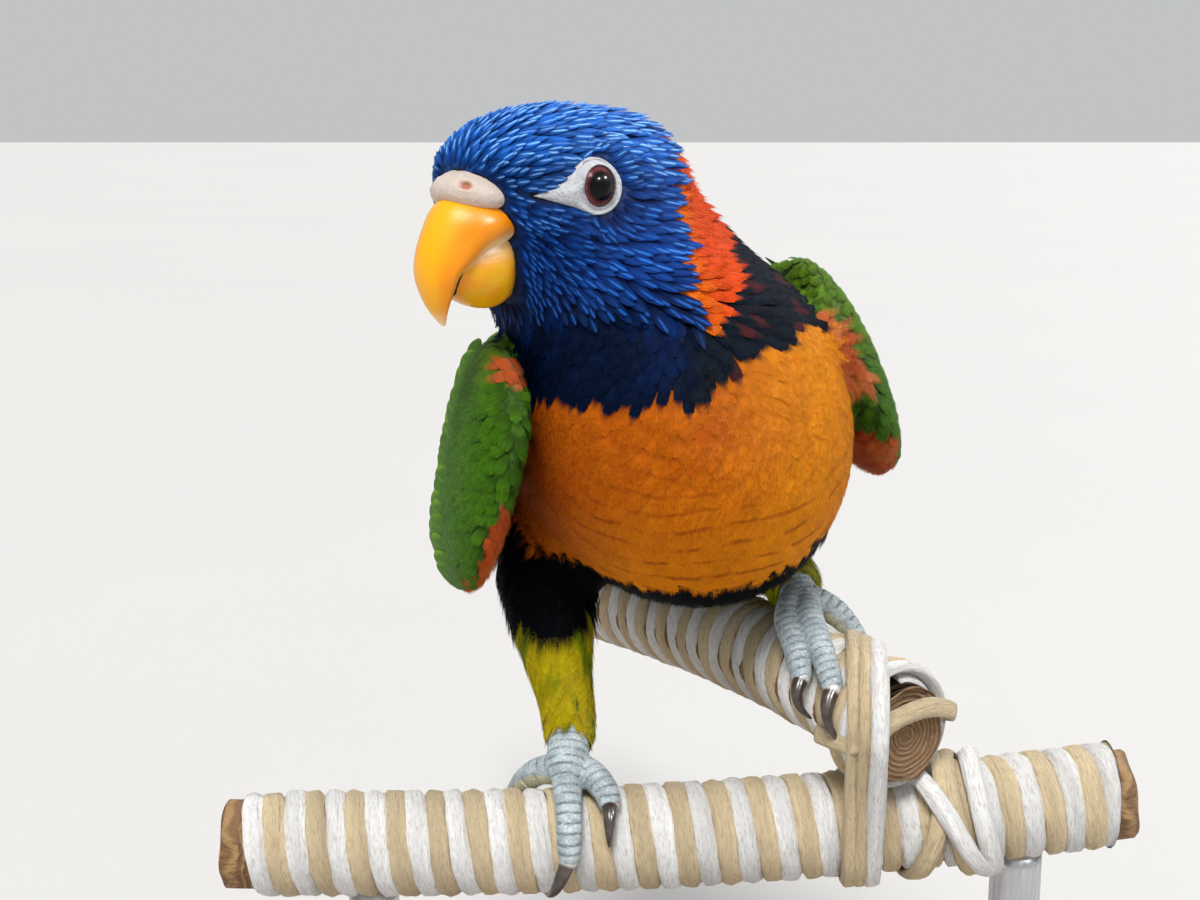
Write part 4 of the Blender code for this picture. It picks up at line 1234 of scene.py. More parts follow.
def fold_shadow_lines(finish):
    """Thin dark red arcs of painted shadow where the feathers bunch in rows across the breast."""
    look = bpy.context.scene.lorikeet_plumage
    coat = finish.shader.inputs["Base Color"].links[0].from_socket
    place = finish.space()
    middle = BODY @ FOLD_SHADOW_CENTRE * MM
    away = finish.node("ShaderNodeVectorMath", {0: place, 1: middle}, operation="DISTANCE").outputs["Value"]
    sway = finish.noise(place, 75.0, 3.0)
    turn = finish.times_plus(away, 2 * math.pi / (FOLD_SHADOW_PITCH * MM), finish.times(sway, 11.0))
    # painted shadow: thin dark lines in rings round a point before the throat, more of them low down
    line = finish.ramp(finish.sine(turn), 0.60, 1.0, 0.0, 0.6)
    broken = finish.ramp(finish.noise(place, 210.0, 3.0), 0.42, 0.58)
    low = finish.ramp(finish.split(place)[2], 0.152, 0.130, 0.15, 1.0)
    share = finish.times(finish.times(line, broken), low)
    finish.feed(finish.mix(share, coat, look.breast_fold_shadow))


def shaded_down_finish():
    """Skin under the coat, in the coat's own colours darkened towards black as painted shade under the feathers."""
    finish = Finish("down", Roughness=0.85, Specular_IOR_Level=0.2)
    tint = finish.read("tint")
    fluff = finish.noise(finish.space(), 900.0, 3.0)
    # painted shade: the coat's colour is darkened towards near black
    finish.feed(finish.mix(finish.ramp(fluff, 0.3, 0.7, 0.35, 0.75), tint, (0.004, 0.004, 0.006)))
    finish.relief(fluff, 0.0003)
    return finish


def foot_finish():
    """Grey-blue horny skin in cross scutes, paler and yellower underneath."""
    look = bpy.context.scene.lorikeet_bare_parts
    finish = Finish("foot skin", Specular_IOR_Level=0.45, Subsurface_Weight=0.05, Subsurface_Radius=THIN_SKIN)
    scute, under, _ = finish.split(finish.read("toe", "Vector"))
    space = finish.space()
    blotch = finish.noise(space, 420.0, 4.0, 0.6)
    seam = finish.ramp(finish.cells(space, 1500.0, "DISTANCE_TO_EDGE"), 0.0, 0.12)
    grey = finish.mix(finish.ramp(blotch, 0.35, 0.65), look.foot, look.foot_pale)
    grey = finish.mix(finish.times(scute, 0.75), grey, look.foot_dark)
    skin = finish.mix(finish.times(finish.ramp(under, 0.35, 0.85), 0.75), grey, look.sole)
    skin = finish.mix(finish.times(finish.less(1.0, seam), 0.35), skin, look.foot_dark)
    finish.feed(skin, finish.ramp(blotch, 0.3, 0.7, 0.5, 0.68))
    finish.relief(finish.times_plus(seam, 0.4, finish.times(scute, -1.2)), 0.00012)
    return finish


# ---- settings ----
def tint_setting(name, description, value):
    return FloatVectorProperty(
        name=name, description=description, subtype="COLOR", size=3, min=0.0, max=1.0, default=value
    )


class LorikeetPlumage(bpy.types.PropertyGroup):
    """Colours of the feathers"""

    crown: tint_setting("Crown", "Blue of the crown and nape", (0.0054, 0.1015, 0.476))
    crown_streak: tint_setting("Crown streak", "Light shaft streaks of the crown", (0.24, 0.55, 1.0))
    cheek: tint_setting("Cheek", "Deep blue of the cheeks", (0.0014, 0.039, 0.24))
    cheek_streak: tint_setting("Cheek streak", "Light shaft streaks of the cheeks", (0.020, 0.16, 0.60))
    throat: tint_setting("Throat", "Blue-black of the throat", (0.0004, 0.005, 0.022))
    collar: tint_setting("Collar", "Red-orange of the collar", (0.90, 0.085, 0.005))
    nape: tint_setting("Nape patch", "Green-black below the collar", (0.002, 0.007, 0.015))
    breast: tint_setting("Breast", "Orange of the breast", (0.93, 0.31, 0.002))
    breast_light: tint_setting("Breast tips", "Yellow-orange tips of the breast", (0.96, 0.36, 0.006))
    # darker redder orange, used as painted shade on the breast
    shaded_breast: tint_setting("Shaded breast", "Darker redder orange of the painted shade on the breast", (0.50, 0.080, 0.001))
    # painted shadow lines between the rows of breast feathers
    breast_fold_shadow: tint_setting("Breast fold shadows", "Dark red-orange painted shadow lines across the breast", (0.30, 0.035, 0.002))
    belly: tint_setting("Belly", "Black of the belly and thigh", (0.002, 0.0025, 0.004))
    mantle: tint_setting("Mantle", "Green of the back", (0.058, 0.18, 0.003))
    wing: tint_setting("Wing", "Deep green of the wings", (0.0476, 0.1625, 0.001))
    lime: tint_setting("Lime", "Yellow-green feather edges", (0.26, 0.48, 0.012))
    tibia: tint_setting("Leg", "Yellow-green of the feathered legs", (0.50, 0.40, 0.001))
    tibia_light: tint_setting("Leg tips", "Light yellow leg tips", (0.66, 0.60, 0.03))
    salmon: tint_setting("Wing lining", "Salmon of the wing lining", (0.50, 0.085, 0.012))
    salmon_light: tint_setting("Wing lining tips", "Pale salmon tips", (0.78, 0.26, 0.07))


class LorikeetBareParts(bpy.types.PropertyGroup):
    """Colours of bill, cere, eyes and feet"""

    # yellow ridge: partly the horn's own colour, partly a painted highlight along the top
    culmen_and_highlight: tint_setting("Culmen", "Yellow of the bill's ridge, partly a painted highlight", (0.92, 0.40, 0.002))
    bill: tint_setting("Bill", "Orange of the bill's sides", (0.84, 0.25, 0.001))
    bill_edge: tint_setting("Bill edge", "Cream of the cutting edge and tip", (0.93, 0.74, 0.42))
    lower_bill: tint_setting("Lower bill", "Deeper orange of the lower bill", (0.777, 0.405, 0.002))
    cere: tint_setting("Cere", "Pinkish white skin over the bill", (0.5544, 0.4785, 0.4136))
    nostril: tint_setting("Nostril", "Pink of the nostrils", (0.40, 0.15, 0.08))
    eye_skin: tint_setting("Eye ring", "Grey-white bare skin round the eye", (0.504, 0.513, 0.5336))
    iris: tint_setting("Iris", "Dark red-brown of the iris", (0.04, 0.0112, 0.0104))
    iris_rim: tint_setting("Iris rim", "Pinkish red outer ring of the iris", (0.20, 0.045, 0.045))
    foot: tint_setting("Foot", "Grey-blue of the feet", (0.3252, 0.3862, 0.414))
    foot_pale: tint_setting("Foot pale", "Pale grey of the scutes", (0.4928, 0.5718, 0.5914))
    foot_dark: tint_setting("Foot dark", "Dark grey in the creases", (0.085, 0.095, 0.11))
    sole: tint_setting("Sole", "Yellowish underside of the toes", (0.62, 0.58, 0.34))
    claw: tint_setting("Claw", "Brown-black of the claws", (0.030, 0.020, 0.017))


class LorikeetPerch(bpy.types.PropertyGroup):
    """Sizes and colours of the perch and stand"""

    strand: FloatProperty(
        name="Strand width", description="Room that one turn of cord takes along a rod", default=3.15 * MM,
        min=1.5 * MM, max=6 * MM, unit="LENGTH", subtype="DISTANCE",
    )
    strand_sides: IntProperty(
        name="Strand sides", description="Facets round a strand of cord", default=16, min=6, max=20
    )
    white: tint_setting("White cord", "Bleached paper cord", (0.89, 0.885, 0.87))
    tan: tint_setting("Tan cord", "Natural paper cord", (0.69, 0.55, 0.34))
    bark: tint_setting("Stick", "Brown of the sticks", (0.20, 0.105, 0.045))
    walnut: tint_setting("Base", "Varnished wood of the base", (0.10, 0.045, 0.020))
    steel: tint_setting("Posts", "Satin steel of the posts", (0.56, 0.56, 0.57))


class LorikeetStage(bpy.types.PropertyGroup):
    """Floor and light"""

    floor: tint_setting("Floor", "Pale plain floor", (0.5544, 0.5418, 0.527))
    key: FloatProperty(name="Key light", description="Strength of the soft sun", default=3.05, min=0.0, max=20.0)
    window: FloatProperty(
        name="Windows", description="Strength of the two small lights in the eyes", default=10.0, min=0.0, max=20.0,
        unit="POWER",
    )
    fill: FloatProperty(name="Sky", description="Strength of the even surrounding light", default=0.58, min=0.0, max=5.0)
    lens: FloatProperty(
        name="Lens", description="Focal length of the camera", default=54.0, min=20.0, max=200.0, unit="CAMERA"
    )


# ---- skin ----
def level(heading):
    """Flat direction at an angle from the X axis."""
    return Vector((math.cos(math.radians(heading)), math.sin(math.radians(heading)), 0))


def front_rod_point(x):
    reach = x + FRONT_ROD_LOWEST
    return Vector((x, FRONT_ROD_Y, FRONT_ROD_Z + FRONT_ROD_SLOPE * reach + FRONT_ROD_BOW * reach**2))


def front_rod_along(along):
    return front_rod_point(FRONT_ROD_LEFT + along)


def back_rod_point(along):
    share = min(max(along / BACK_ROD_LENGTH, 0.0), 1.0)
    return BACK_ROD_END + BACK_ROD_RUN * along + Vector((0, 0, BACK_ROD_BOW * math.sin(math.pi * share**0.7)))


def rod_frame(side, along):
    """Middle of the rod under a foot, and the directions up off it and towards the bird's front."""
    if side == "right":
        return front_rod_along(along), UP, Vector((0, -1, 0))
    return back_rod_point(along), UP, BACK_ROD_SIDE


def grip_point(side, along, angle, lift):
    middle, up, forward = rod_frame(side, along)
    turn = math.radians(angle)
    return middle + (up * math.cos(turn) + forward * math.sin(turn)) * (ROD_RADIUS + lift)


def knot_line(knots, count):
    """Middle line and radii through a row of knots."""
    rows = resampled(knots, count)
    return [Vector(r[:3]) for r in rows], [r.radius for r in rows]


def toe_lines(side):
    """Middle lines and radii of the toes, with the rod's middle under each point, and of the shank."""
    lines = []
    for grips in TOES[side].values():
        rows = resampled(grips, TOE_ROWS)
        points = [grip_point(side, r.along, r.angle, r.lift) for r in rows]
        lines.append((points, [r.radius for r in rows], [rod_frame(side, r.along)[0] for r in rows]))
    return [*lines, (*knot_line(SHANKS[side], SHANK_ROWS), None)]


def foot_skin(side):
    """Toes and shank grown together, with cross scutes, side scales and pads pressed in."""
    lines = toe_lines(side)
    tubes = []
    for points, radii, _ in lines:
        run = (points[-1] - points[-2]).normalized()
        points = [*points, points[-1] + run * radii[-1] * 0.55]
        tubes.append(loft(tube_rings(points, [*radii, radii[-1] * 0.72], 20)))
    bm = fused(merged(*tubes), 0.36, 5)
    places, normals = places_of(bm), normals_of(bm)
    best = np.full(len(places), np.inf)
    scute, under = np.zeros((2, len(places)))
    for points, radii, middles in lines:
        points = np.array(points)
        lengths = np.concatenate([[0], np.cumsum(np.linalg.norm(np.diff(points, axis=0), axis=1))])
        gaps = np.linalg.norm(places[:, None] - points[None], axis=2)
        nearest = gaps.argmin(1)
        away = gaps[np.arange(len(places)), nearest] - np.array(radii)[nearest]
        run = unit(np.gradient(points, axis=0))[nearest]
        travelled = lengths[nearest] + ((places - points[nearest]) * run).sum(1)
        if middles:
            out = unit(points[nearest] - np.array(middles)[nearest])
        else:
            out = np.tile(unit(np.array([[0.0, -0.55, 0.83]])), (len(places), 1))
        top = (normals * out).sum(1)
        edge = np.abs(np.sin(math.pi * (travelled + 0.35 * (1 - np.abs(top))) / SCUTE_PITCH))
        line = step(0.42, 0.06, edge) * step(-0.15, 0.35, top)
        seam = np.abs(np.sin(math.pi * travelled / PAD_PITCH))
        pads = step(0.5, 0.05, seam) * step(-0.2, -0.7, top) * 0.8
        closer = away < best
        best = np.where(closer, away, best)
        scute = np.where(closer, np.maximum(line, pads), scute)
        under = np.where(closer, step(0.0, -0.8, top), under)
    move_verts(bm, places + normals * (0.10 - 0.26 * scute)[:, None])
    return bm, np.column_stack([scute, under, np.zeros(len(places))])


def sunk_form():
    """Head, neck, trunk and legs grown together, and drawn in under coat, bill, eyes and cere."""
    form = fused(merged(*(node_bmesh(name, 0.45) for name in (*FLESH, *SOCKETS))), 1.25, 8)
    places, normals = places_of(form), normals_of(form)
    sunk = places - normals * (coat_depth(places) + 0.25)[:, None]
    skull = inside(SKULL, sunk)
    sunk -= normals * (1.4 * step(1.2, -0.4, horn_gap(sunk)) * step(19, 15, skull[:, 0]))[:, None]
    sunk -= normals * (1.2 * step(4.1, 3.3, eye_gap(inside(SKULL, sunk))))[:, None]
    skull = inside(SKULL, sunk)
    skull[:, 0] += 1.1 * step(4, 11, skull[:, 0]) * step(3.6, 6.0, skull[:, 2]) * step(16, 9, skull[:, 2])
    size = in_saddle(skull)
    pull = step(10.5, 13.0, skull[:, 0]) * step(-3.0, -0.5, skull[:, 2]) * step(1.6, 1.2, size) * (size > 0.86)
    held = np.array(SADDLE_CENTRE) - (0, 0, 0.6) + (skull - SADDLE_CENTRE) * (0.86 / size)[:, None]
    move_verts(form, outside(SKULL, mixed(skull, held, pull)))
    return form


def unwrap(context, made):
    """Unwraps a mesh for baking."""
    context.view_layer.objects.active = made
    made.select_set(True)
    bpy.ops.object.mode_set(mode="EDIT")
    bpy.ops.mesh.select_all(action="SELECT")
    made.data.uv_layers.new(name="OFBake")
    bpy.ops.uv.smart_project(angle_limit=math.radians(66), island_margin=0.002)
    bpy.ops.object.mode_set(mode="OBJECT")
    made.select_set(False)


class LORIKEET_OT_skin(bpy.types.Operator):
    """One skin for head, neck, trunk, wings, legs and feet, inside the coat"""

    bl_idname = "lorikeet.skin"
    bl_label = "Skin"

    def execute(self, context):
        form = sunk_form()
        sleeves = [loft(tube_rings(*knot_line(ankle, 10), 20)) for ankle in ANKLES.values()]
        body = fused(merged(form, wing_core("left"), wing_core("right"), tail_core(), *sleeves), 0.95, 4)
        places = places_of(body)
        count, faces = len(places), len(body.faces)
        feet = [foot_skin(side) for side in SIDES]
        whole = merged(body, *(bm for bm, _ in feet))
        skin = add_object("skin", whole, shaded_down_finish().material, foot_finish().material, recalc=False)
        mesh = skin.data
        is_foot = np.arange(len(mesh.polygons)) >= faces
        mesh.polygons.foreach_set("material_index", is_foot.astype(np.int32))
        found = regions(places, part_labels(places))
        tint, _ = plumage_colours(places, found)
        # painted shade: the skin under bill, cere and eyes is tinted dark
        tint[found == BARE] = BARE_DOWN_SHADE
        rest = len(mesh.vertices) - count
        set_tint(mesh, np.vstack([tint, np.full((rest, 3), 0.4)]))
        set_values(mesh, "region", "FLOAT", np.concatenate([found, np.zeros(rest)]))
        set_values(mesh, "toe", "FLOAT_VECTOR", np.vstack([np.zeros((count, 3)), *(t for _, t in feet)]))
        unwrap(context, skin)
        place_piece(skin, "dark_feathers", *FLESH, "foot_left", "foot_right", "wing_left", "wing_right")
        return {"FINISHED"}


# ---- coat ----
def coat(name, slot, finish, *covers):
    """One piece of the coat, with the feathers of a few regions in it."""
    plumes = Plumes()
    for code, vane, length, width, seed, settings in covers:
        cover(plumes, code, vane, length, width, seed, **settings)
    return place_piece(plumes.build(name, finish), slot)


class LORIKEET_OT_head_coat(bpy.types.Operator):
    """Narrow pointed feathers of the blue head, with light shaft streaks"""

    bl_idname = "lorikeet.head_coat"
    bl_label = "Head feathers"

    def execute(self, context):
        finish = feather_finish(
            "blue plumage", 0.06, Shaft=1.0, Fringe=0.0, Barbs=0.3, Along=12.0, Across=-7.0, Shaft_Width=0.36,
            Root_Shade=0.8,
        )
        coat(
            "coat_head", "blue_feathers", finish,
            (BLUE, POINTED, lambda s: 2.5 + 3.8 * face_size(s), lambda s: 0.90 + 0.65 * face_size(s), 101,
             {"thick": 0.04, "swirl": 0.06, "vary": 0.25}),
        )
        return {"FINISHED"}


class LORIKEET_OT_dark_coat(bpy.types.Operator):
    """Blue-black throat, nape patch, belly and thigh"""

    bl_idname = "lorikeet.dark_coat"
    bl_label = "Dark feathers"

    def execute(self, context):
        finish = feather_finish(
            "dark plumage", 0.04, Shaft=0.25, Fringe=0.3, Barbs=0.5, Along=6.0, Across=4.0, Root_Shade=0.4
        )
        coat(
            "coat_dark", "dark_feathers", finish,
            (THROAT, FRAYED, 5.4, 1.8, 201, {"high": 0.7, "thick": 0.03, "vary": 0.16}),
            (NAPE, FRAYED, 6.0, 2.0, 211, {"high": 0.8, "thick": 0.04, "vary": 0.2}),
            (BELLY, WISPY, 7.2, 2.6, 221, {}),
            (THIGH, WISPY, 6.4, 2.1, 231, {"high": 1.15}),
        )
        return {"FINISHED"}


class LORIKEET_OT_breast_coat(bpy.types.Operator):
    """Orange breast and red-orange collar, whose feathers end in parted barbs"""

    bl_idname = "lorikeet.breast_coat"
    bl_label = "Breast and collar feathers"

    def execute(self, context):
        finish = feather_finish(
            "orange plumage", 0.08, Shaft=0.0, Fringe=0.5, Barbs=0.8, Along=3.0, Across=7.0, Root_Shade=0.40
        )
        fold_shadow_lines(finish)
        coat(
            "coat_breast", "orange_feathers", finish,
            (COLLAR, FRAYED, 5.4, 2.0, 301, {"vary": 0.10}),
            (BREAST, FRAYED, 6.4, 2.5, 311, {"high": 0.62, "thick": 0.03, "swirl": 0.06, "vary": 0.08}),
        )
        return {"FINISHED"}


class LORIKEET_OT_back_coat(bpy.types.Operator):
    """Green mantle, back and rump, and yellow-green vent"""

    bl_idname = "lorikeet.back_coat"
    bl_label = "Back feathers"

    def execute(self, context):
        finish = feather_finish("green plumage", 0.12, Shaft=0.10, Fringe=0.5, Barbs=0.45, Along=14.0, Across=-8.0)
        coat(
            "coat_back", "green_feathers", finish,
            (MANTLE, ROUNDED, 9.0, 4.8, 401, {}), (VENT, WISPY, 9.0, 4.0, 411, {}),
        )
        return {"FINISHED"}


def cuff_length(spots):
    """Leg feathers, shorter where they hug the top of the foot."""
    ankle = np.where(spots[:, 0] < 0, 97.0, 116.0)
    return 3.4 + 2.2 * step(ankle, ankle + 6, spots[:, 2])


class LORIKEET_OT_leg_coat(bpy.types.Operator):
    """Yellow-green feathered legs with a wispy edge"""

    bl_idname = "lorikeet.leg_coat"
    bl_label = "Leg feathers"

    def execute(self, context):
        finish = feather_finish("yellow plumage", 0.08, Shaft=0.0, Fringe=0.4, Barbs=0.4, Along=4.0, Across=5.0)
        coat("coat_legs", "yellow_feathers", finish, (TIBIA, WISPY, cuff_length, 1.7, 501, {"high": 0.8}))
        return {"FINISHED"}


def wing_feathers(plumes, side, look):
    """Flight feathers and large coverts laid in rows over the folded wing."""
    picked = np.random.default_rng(600 + (side == "left"))
    rows = 16

    def lay(root_along, root_across, tip_along, tip_across, wide, low, high, tint, light, vane=FLIGHT):
        t = np.linspace(0, 1, rows)
        along = root_along[:, None] + (tip_along - root_along)[:, None] * t
        across = root_across[:, None] + (tip_across - root_across)[:, None] * t**1.3
        line, normal = wing_place(side, along, np.clip(across, -0.99, 0.99), 0.0)
        plumes.add(vane, line, normal, wide, low, high, tint, light, line[:, 0], 0.16, 3, 0.08)

    def greens(count, dark, edge):
        tint = mixed(look.wing, look.mantle, 0.15 + 0.5 * picked.random(count))
        return mixed(tint, look.belly, dark), mixed(look.lime, look.wing, edge)

    count = 19
    k = np.arange(count)
    share = k / (count - 1)
    tips = np.where(k < 10, -119.5 + 4.9 * k, -73.5 + 2.5 * (k - 10))
    tint, light = greens(count, np.where(k < 10, 0.5, 0.12), np.where(k < 10, 0.4, 0.1))
    lay(-8 - 14 * (1 - share), -0.70 + 1.36 * share, tips, -0.62 + 1.42 * share**1.1, 7.6 + 2.0 * share,
        -1.6 + 0.03 * k, -0.25 + 0.06 * k, tint, light)
    for count, start, end, across, wide, low, high in (
        (14, -8.0, -35.0, 0.82, 7.0, -1.7, 0.35), (17, 0.0, -20.0, 0.86, 5.4, -1.8, 0.45),
        (20, 6.0, -9.0, 0.88, 4.4, -1.8, 0.5),
    ):
        k = np.arange(count)
        share = k / (count - 1)
        tint, light = greens(count, np.full(count, 0.05), np.full(count, 0.05))
        ragged = picked.uniform(-1.2, 1.2, count)
        spread = -across + 2 * across * share
        lay(start - 2 * share + ragged, spread, end + 5 * share + ragged, spread * 1.04 - 0.02, wide + 0.6 * share,
            low, high + 0.02 * k, tint, light, ROUNDED)


def covert_size(spots, near, far):
    """Size of the small coverts: least at the bend of the wing and on the side towards the breast."""
    x, y, _ = inside(BODY, spots).T
    size = np.interp(x, [-60, -10, 12, 30], [far, far * 0.85, near * 1.3, near])
    inner = step(29, 25, np.abs(y)) * step(-12, 2, x)
    return size + (0.7 * near - size) * inner


class LORIKEET_OT_wing_coat(bpy.types.Operator):
    """Small coverts, large coverts and flight feathers of both folded wings"""

    bl_idname = "lorikeet.wing_coat"
    bl_label = "Wing feathers"

    def execute(self, context):
        finish = feather_finish(
            "wing plumage", 0.12, Shaft=0.25, Fringe=0.75, Barbs=0.45, Along=18.0, Across=-10.0, Root_Shade=0.7
        )
        for side in SIDES:
            plumes = Plumes()
            for vane, length, width, seed, high, vary, back, front in (
                (ROUNDED, 4.0, 2.0, 610, 0.7, 0.12, -40, -22), (FRAYED, 3.9, 1.9, 620, 0.62, 0.14, -22, np.inf),
            ):
                cover(
                    plumes, WING_TOP, vane, lambda s: covert_size(s, length, 9.0), lambda s: covert_size(s, width, 5.2),
                    seed, high, 0.03, vary=vary,
                    where=lambda x, labels: (labels == f"wing_{side}") & (x >= back) & (x < front),
                )
            wing_feathers(plumes, side, context.scene.lorikeet_plumage)
            place_piece(plumes.build(f"coat_wing_{side}", finish), "green_feathers")
        return {"FINISHED"}


class LORIKEET_OT_lining_coat(bpy.types.Operator):
    """Salmon wing lining and the fluffy tufts at the bend of each wing"""

    bl_idname = "lorikeet.lining_coat"
    bl_label = "Wing lining"

    def execute(self, context):
        finish = feather_finish("salmon plumage", 0.10, Shaft=0.2, Fringe=0.6, Barbs=0.5, Along=4.0, Across=5.0)
        tufts = (WING_UNDER, WISPY, 4.8, 1.9, 701, {"high": 0.9, "swirl": 0.12})
        coat("coat_lining", "orange_feathers", finish, tufts)
        return {"FINISHED"}


def tail_feather(plumes, pair, sign, look, rows=14):
    """One feather of a pair, on the left (1) or right (-1); the middle pair, 0, is the longest and lies on top."""
    t = np.linspace(0, 1, rows)
    table = np.array(resampled(TAIL, 60))[::-1]
    root, tip = -58, -180.5 + 12.5 * pair
    along = root + (tip - root) * t
    half = np.interp(along, table[:, 0], table[:, 1])
    share = (0.10 + 0.155 * pair) * sign
    across = np.clip(half - 3.1, 0.25, 20) * share * (0.5 + 0.5 * step(0, 0.35, t)) * 1.05
    middle = TAIL_RISE + TAIL_DROOP * (along - TAIL[0].along)
    height = middle + np.interp(along, table[:, 0], table[:, 2]) * (0.75 - 0.27 * pair + (0.08 if sign > 0 else 0))
    line = outside(BODY, np.stack([along, across, height], -1))[None]
    up = np.tile(np.array(BODY)[:3, :3] @ (0, 0, 1), (1, rows, 1))
    green = mixed(look.wing, look.mantle, [0.45])
    fringe = mixed(look.lime, look.tibia, [0.25 + 0.1 * pair])
    plumes.add(FLIGHT, line, up, 7.4 - 0.25 * pair, 0.0, 0.0, green, fringe, line[:, 0], 0.30, 810 + pair)


class LORIKEET_OT_tail_coat(bpy.types.Operator):
    """Twelve graduated tail feathers, the outer pairs under the middle one"""

    bl_idname = "lorikeet.tail_coat"
    bl_label = "Tail feathers"

    def execute(self, context):
        plumes = Plumes()
        for pair in reversed(range(6)):
            for sign in (-1, 1):
                tail_feather(plumes, pair, sign, context.scene.lorikeet_plumage)
        finish = feather_finish("tail plumage", Shaft=0.25, Fringe=0.5, Barbs=0.4, Along=60.0, Across=-14.0, Root_Shade=0.1)
        place_piece(plumes.build("coat_tail", finish), "green_feathers", "tail")
        return {"FINISHED"}


# ---- bill, cere and eyes ----
def bill_finish(name, lower):
    """Waxy horn, yellow on the ridge, partly its own colour and partly a painted highlight, orange on the sides and
    cream along the cutting edge.
    """
    look = bpy.context.scene.lorikeet_bare_parts
    finish = Finish(
        name, Roughness=0.36, Specular_IOR_Level=0.28, Coat_Weight=0.10, Coat_Roughness=0.22,
        Subsurface_Weight=0.05, Subsurface_Radius=(0.003, 0.0014, 0.0005),
    )
    horn = finish.read("horn", "Vector")
    along, ridge, edge = finish.split(horn)
    cloud = finish.noise(finish.space(), 260.0, 3.0)
    streak = finish.noise(finish.stretched(horn, (3.0, 26.0, 26.0)), 1.6, 3.0)
    soft = finish.times_plus(cloud, 0.5, finish.times(streak, 0.4))
    if lower:
        colour = finish.mix(finish.ramp(soft, 0.3, 0.65), look.lower_bill, look.bill)
        colour = finish.mix(finish.times(edge, 0.6), colour, look.bill_edge)
    else:
        # the ridge turns yellow: partly the horn's colour, partly a painted highlight along the top
        colour = finish.mix(finish.ramp(ridge, 0.15, 0.85), look.bill, look.culmen_and_highlight)
        colour = finish.mix(finish.times(finish.ramp(soft, 0.35, 0.6), 0.35), colour, look.culmen_and_highlight)
        pale = finish.maths("MAXIMUM", finish.ramp(along, 0.72, 0.98, 0.0, 0.75), finish.times(edge, 0.9))
        colour = finish.mix(pale, colour, look.bill_edge)
    finish.feed(colour, finish.times_plus(streak, 0.2, 0.2))
    finish.relief(soft, 0.00012)
    return finish


class LORIKEET_OT_bill(bpy.types.Operator):
    """Hooked upper bill with a notched cutting edge, and the lower bill"""

    bl_idname = "lorikeet.bill"
    bl_label = "Bill"

    def execute(self, context):
        for half, made_rings, finish_name in (
            ("upper", upper_bill_rings, "bill horn"), ("lower", lower_bill_rings, "lower bill horn"),
        ):
            rings, horn = made_rings()
            finish = bill_finish(finish_name, half == "lower")
            made = add_object(f"bill_{half}_horn", loft(rings), finish.material)
            set_values(made.data, "horn", "FLOAT_VECTOR", horn)
            place_piece(made, "bill", f"bill_{half}")
        return {"FINISHED"}


def cere_finish():
    """Soft pale skin with fine pores, pink inside the nostrils."""
    look = bpy.context.scene.lorikeet_bare_parts
    finish = Finish(
        "cere skin", Roughness=0.5, Specular_IOR_Level=0.25, Subsurface_Weight=0.08,
        Subsurface_Radius=(0.003, 0.0012, 0.0008),
    )
    space = finish.space()
    cloud = finish.noise(space, 380.0, 4.0)
    pores = finish.cells(space, 1900.0)
    pink = finish.mix(finish.ramp(cloud, 0.35, 0.7, 0.0, 0.35), look.cere, (0.70, 0.50, 0.42))
    finish.feed(finish.mix(finish.read("pit", "Fac"), pink, look.nostril))
    finish.relief(pores, 0.0001)
    return finish


def cere_form():
    """Saddle of bare skin over the bill's root, and how deep in a nostril each corner lies."""
    bm = bmesh.new()
    bmesh.ops.create_uvsphere(bm, u_segments=96, v_segments=64, radius=1.0)
    pits = []
    for vert in bm.verts:
        local = SADDLE_CENTRE + Vector(a * b for a, b in zip(vert.co, SADDLE_RADII))
        seam = 0.12 * math.exp(-((local.y / 0.8) ** 2))
        ahead, above = local.x - NOSTRIL.x, 1.5 * (local.z - NOSTRIL.z)
        hole = min(math.hypot(ahead, local.y - side * NOSTRIL.y, above) for side in (-1, 1))
        rim = 0.16 * math.exp(-(((hole - 1.25) / 0.45) ** 2))
        pit = math.exp(-((hole / 0.85) ** 4))
        local += vert.co.normalized() * (rim - seam - 0.7 * pit)
        local -= Vector((SADDLE_LEAN, 0.0, SADDLE_BEND)) * local.y**2
        pits.append(min(1.0, pit * 1.3))
        vert.co = SKULL @ local * MM
    return bm, pits


def bristles(count=46, seed=77):
    """Short dark bristles at both sides of the cere."""
    picked = np.random.default_rng(seed)
    plumes = Plumes()
    side = np.where(np.arange(count) % 2, 1.0, -1.0)
    low = picked.uniform(-2.5, 4.2, count)
    start = np.stack([13.6 - 0.2 * np.abs(low), side * (6.9 + 0.1 * low), low + 0.3], -1)
    way = unit(np.stack([picked.uniform(0.1, 0.5, count), side, picked.uniform(-0.5, 0.7, count)], -1))
    t = np.linspace(0, 1, 4)[None, :, None]
    line = outside(SKULL, start[:, None] + way[:, None] * t * picked.uniform(1.4, 2.6, count)[:, None, None])
    up = np.tile(np.array([0.0, 0.0, 1.0]), (count, 4, 1))
    black = np.full((count, 3), 0.004)
    plumes.add(HAIR, line, up, 0.13, 0.0, 0.0, black, black, line[:, 0], 0.06, 5)
    return plumes


class LORIKEET_OT_cere(bpy.types.Operator):
    """Swollen pale cere with two nostrils, and the short bristles beside it"""

    bl_idname = "lorikeet.cere"
    bl_label = "Cere"

    def execute(self, context):
        bm, pits = cere_form()
        made = add_object("cere_skin", bm, cere_finish().material)
        set_values(made.data, "pit", "FLOAT", pits)
        place_piece(made, "cere", "cere")
        finish = feather_finish("bristle", Shaft=0.0, Fringe=0.0, Barbs=0.1)
        place_piece(bristles().build("face_bristles", finish), "dark_feathers")
        return {"FINISHED"}


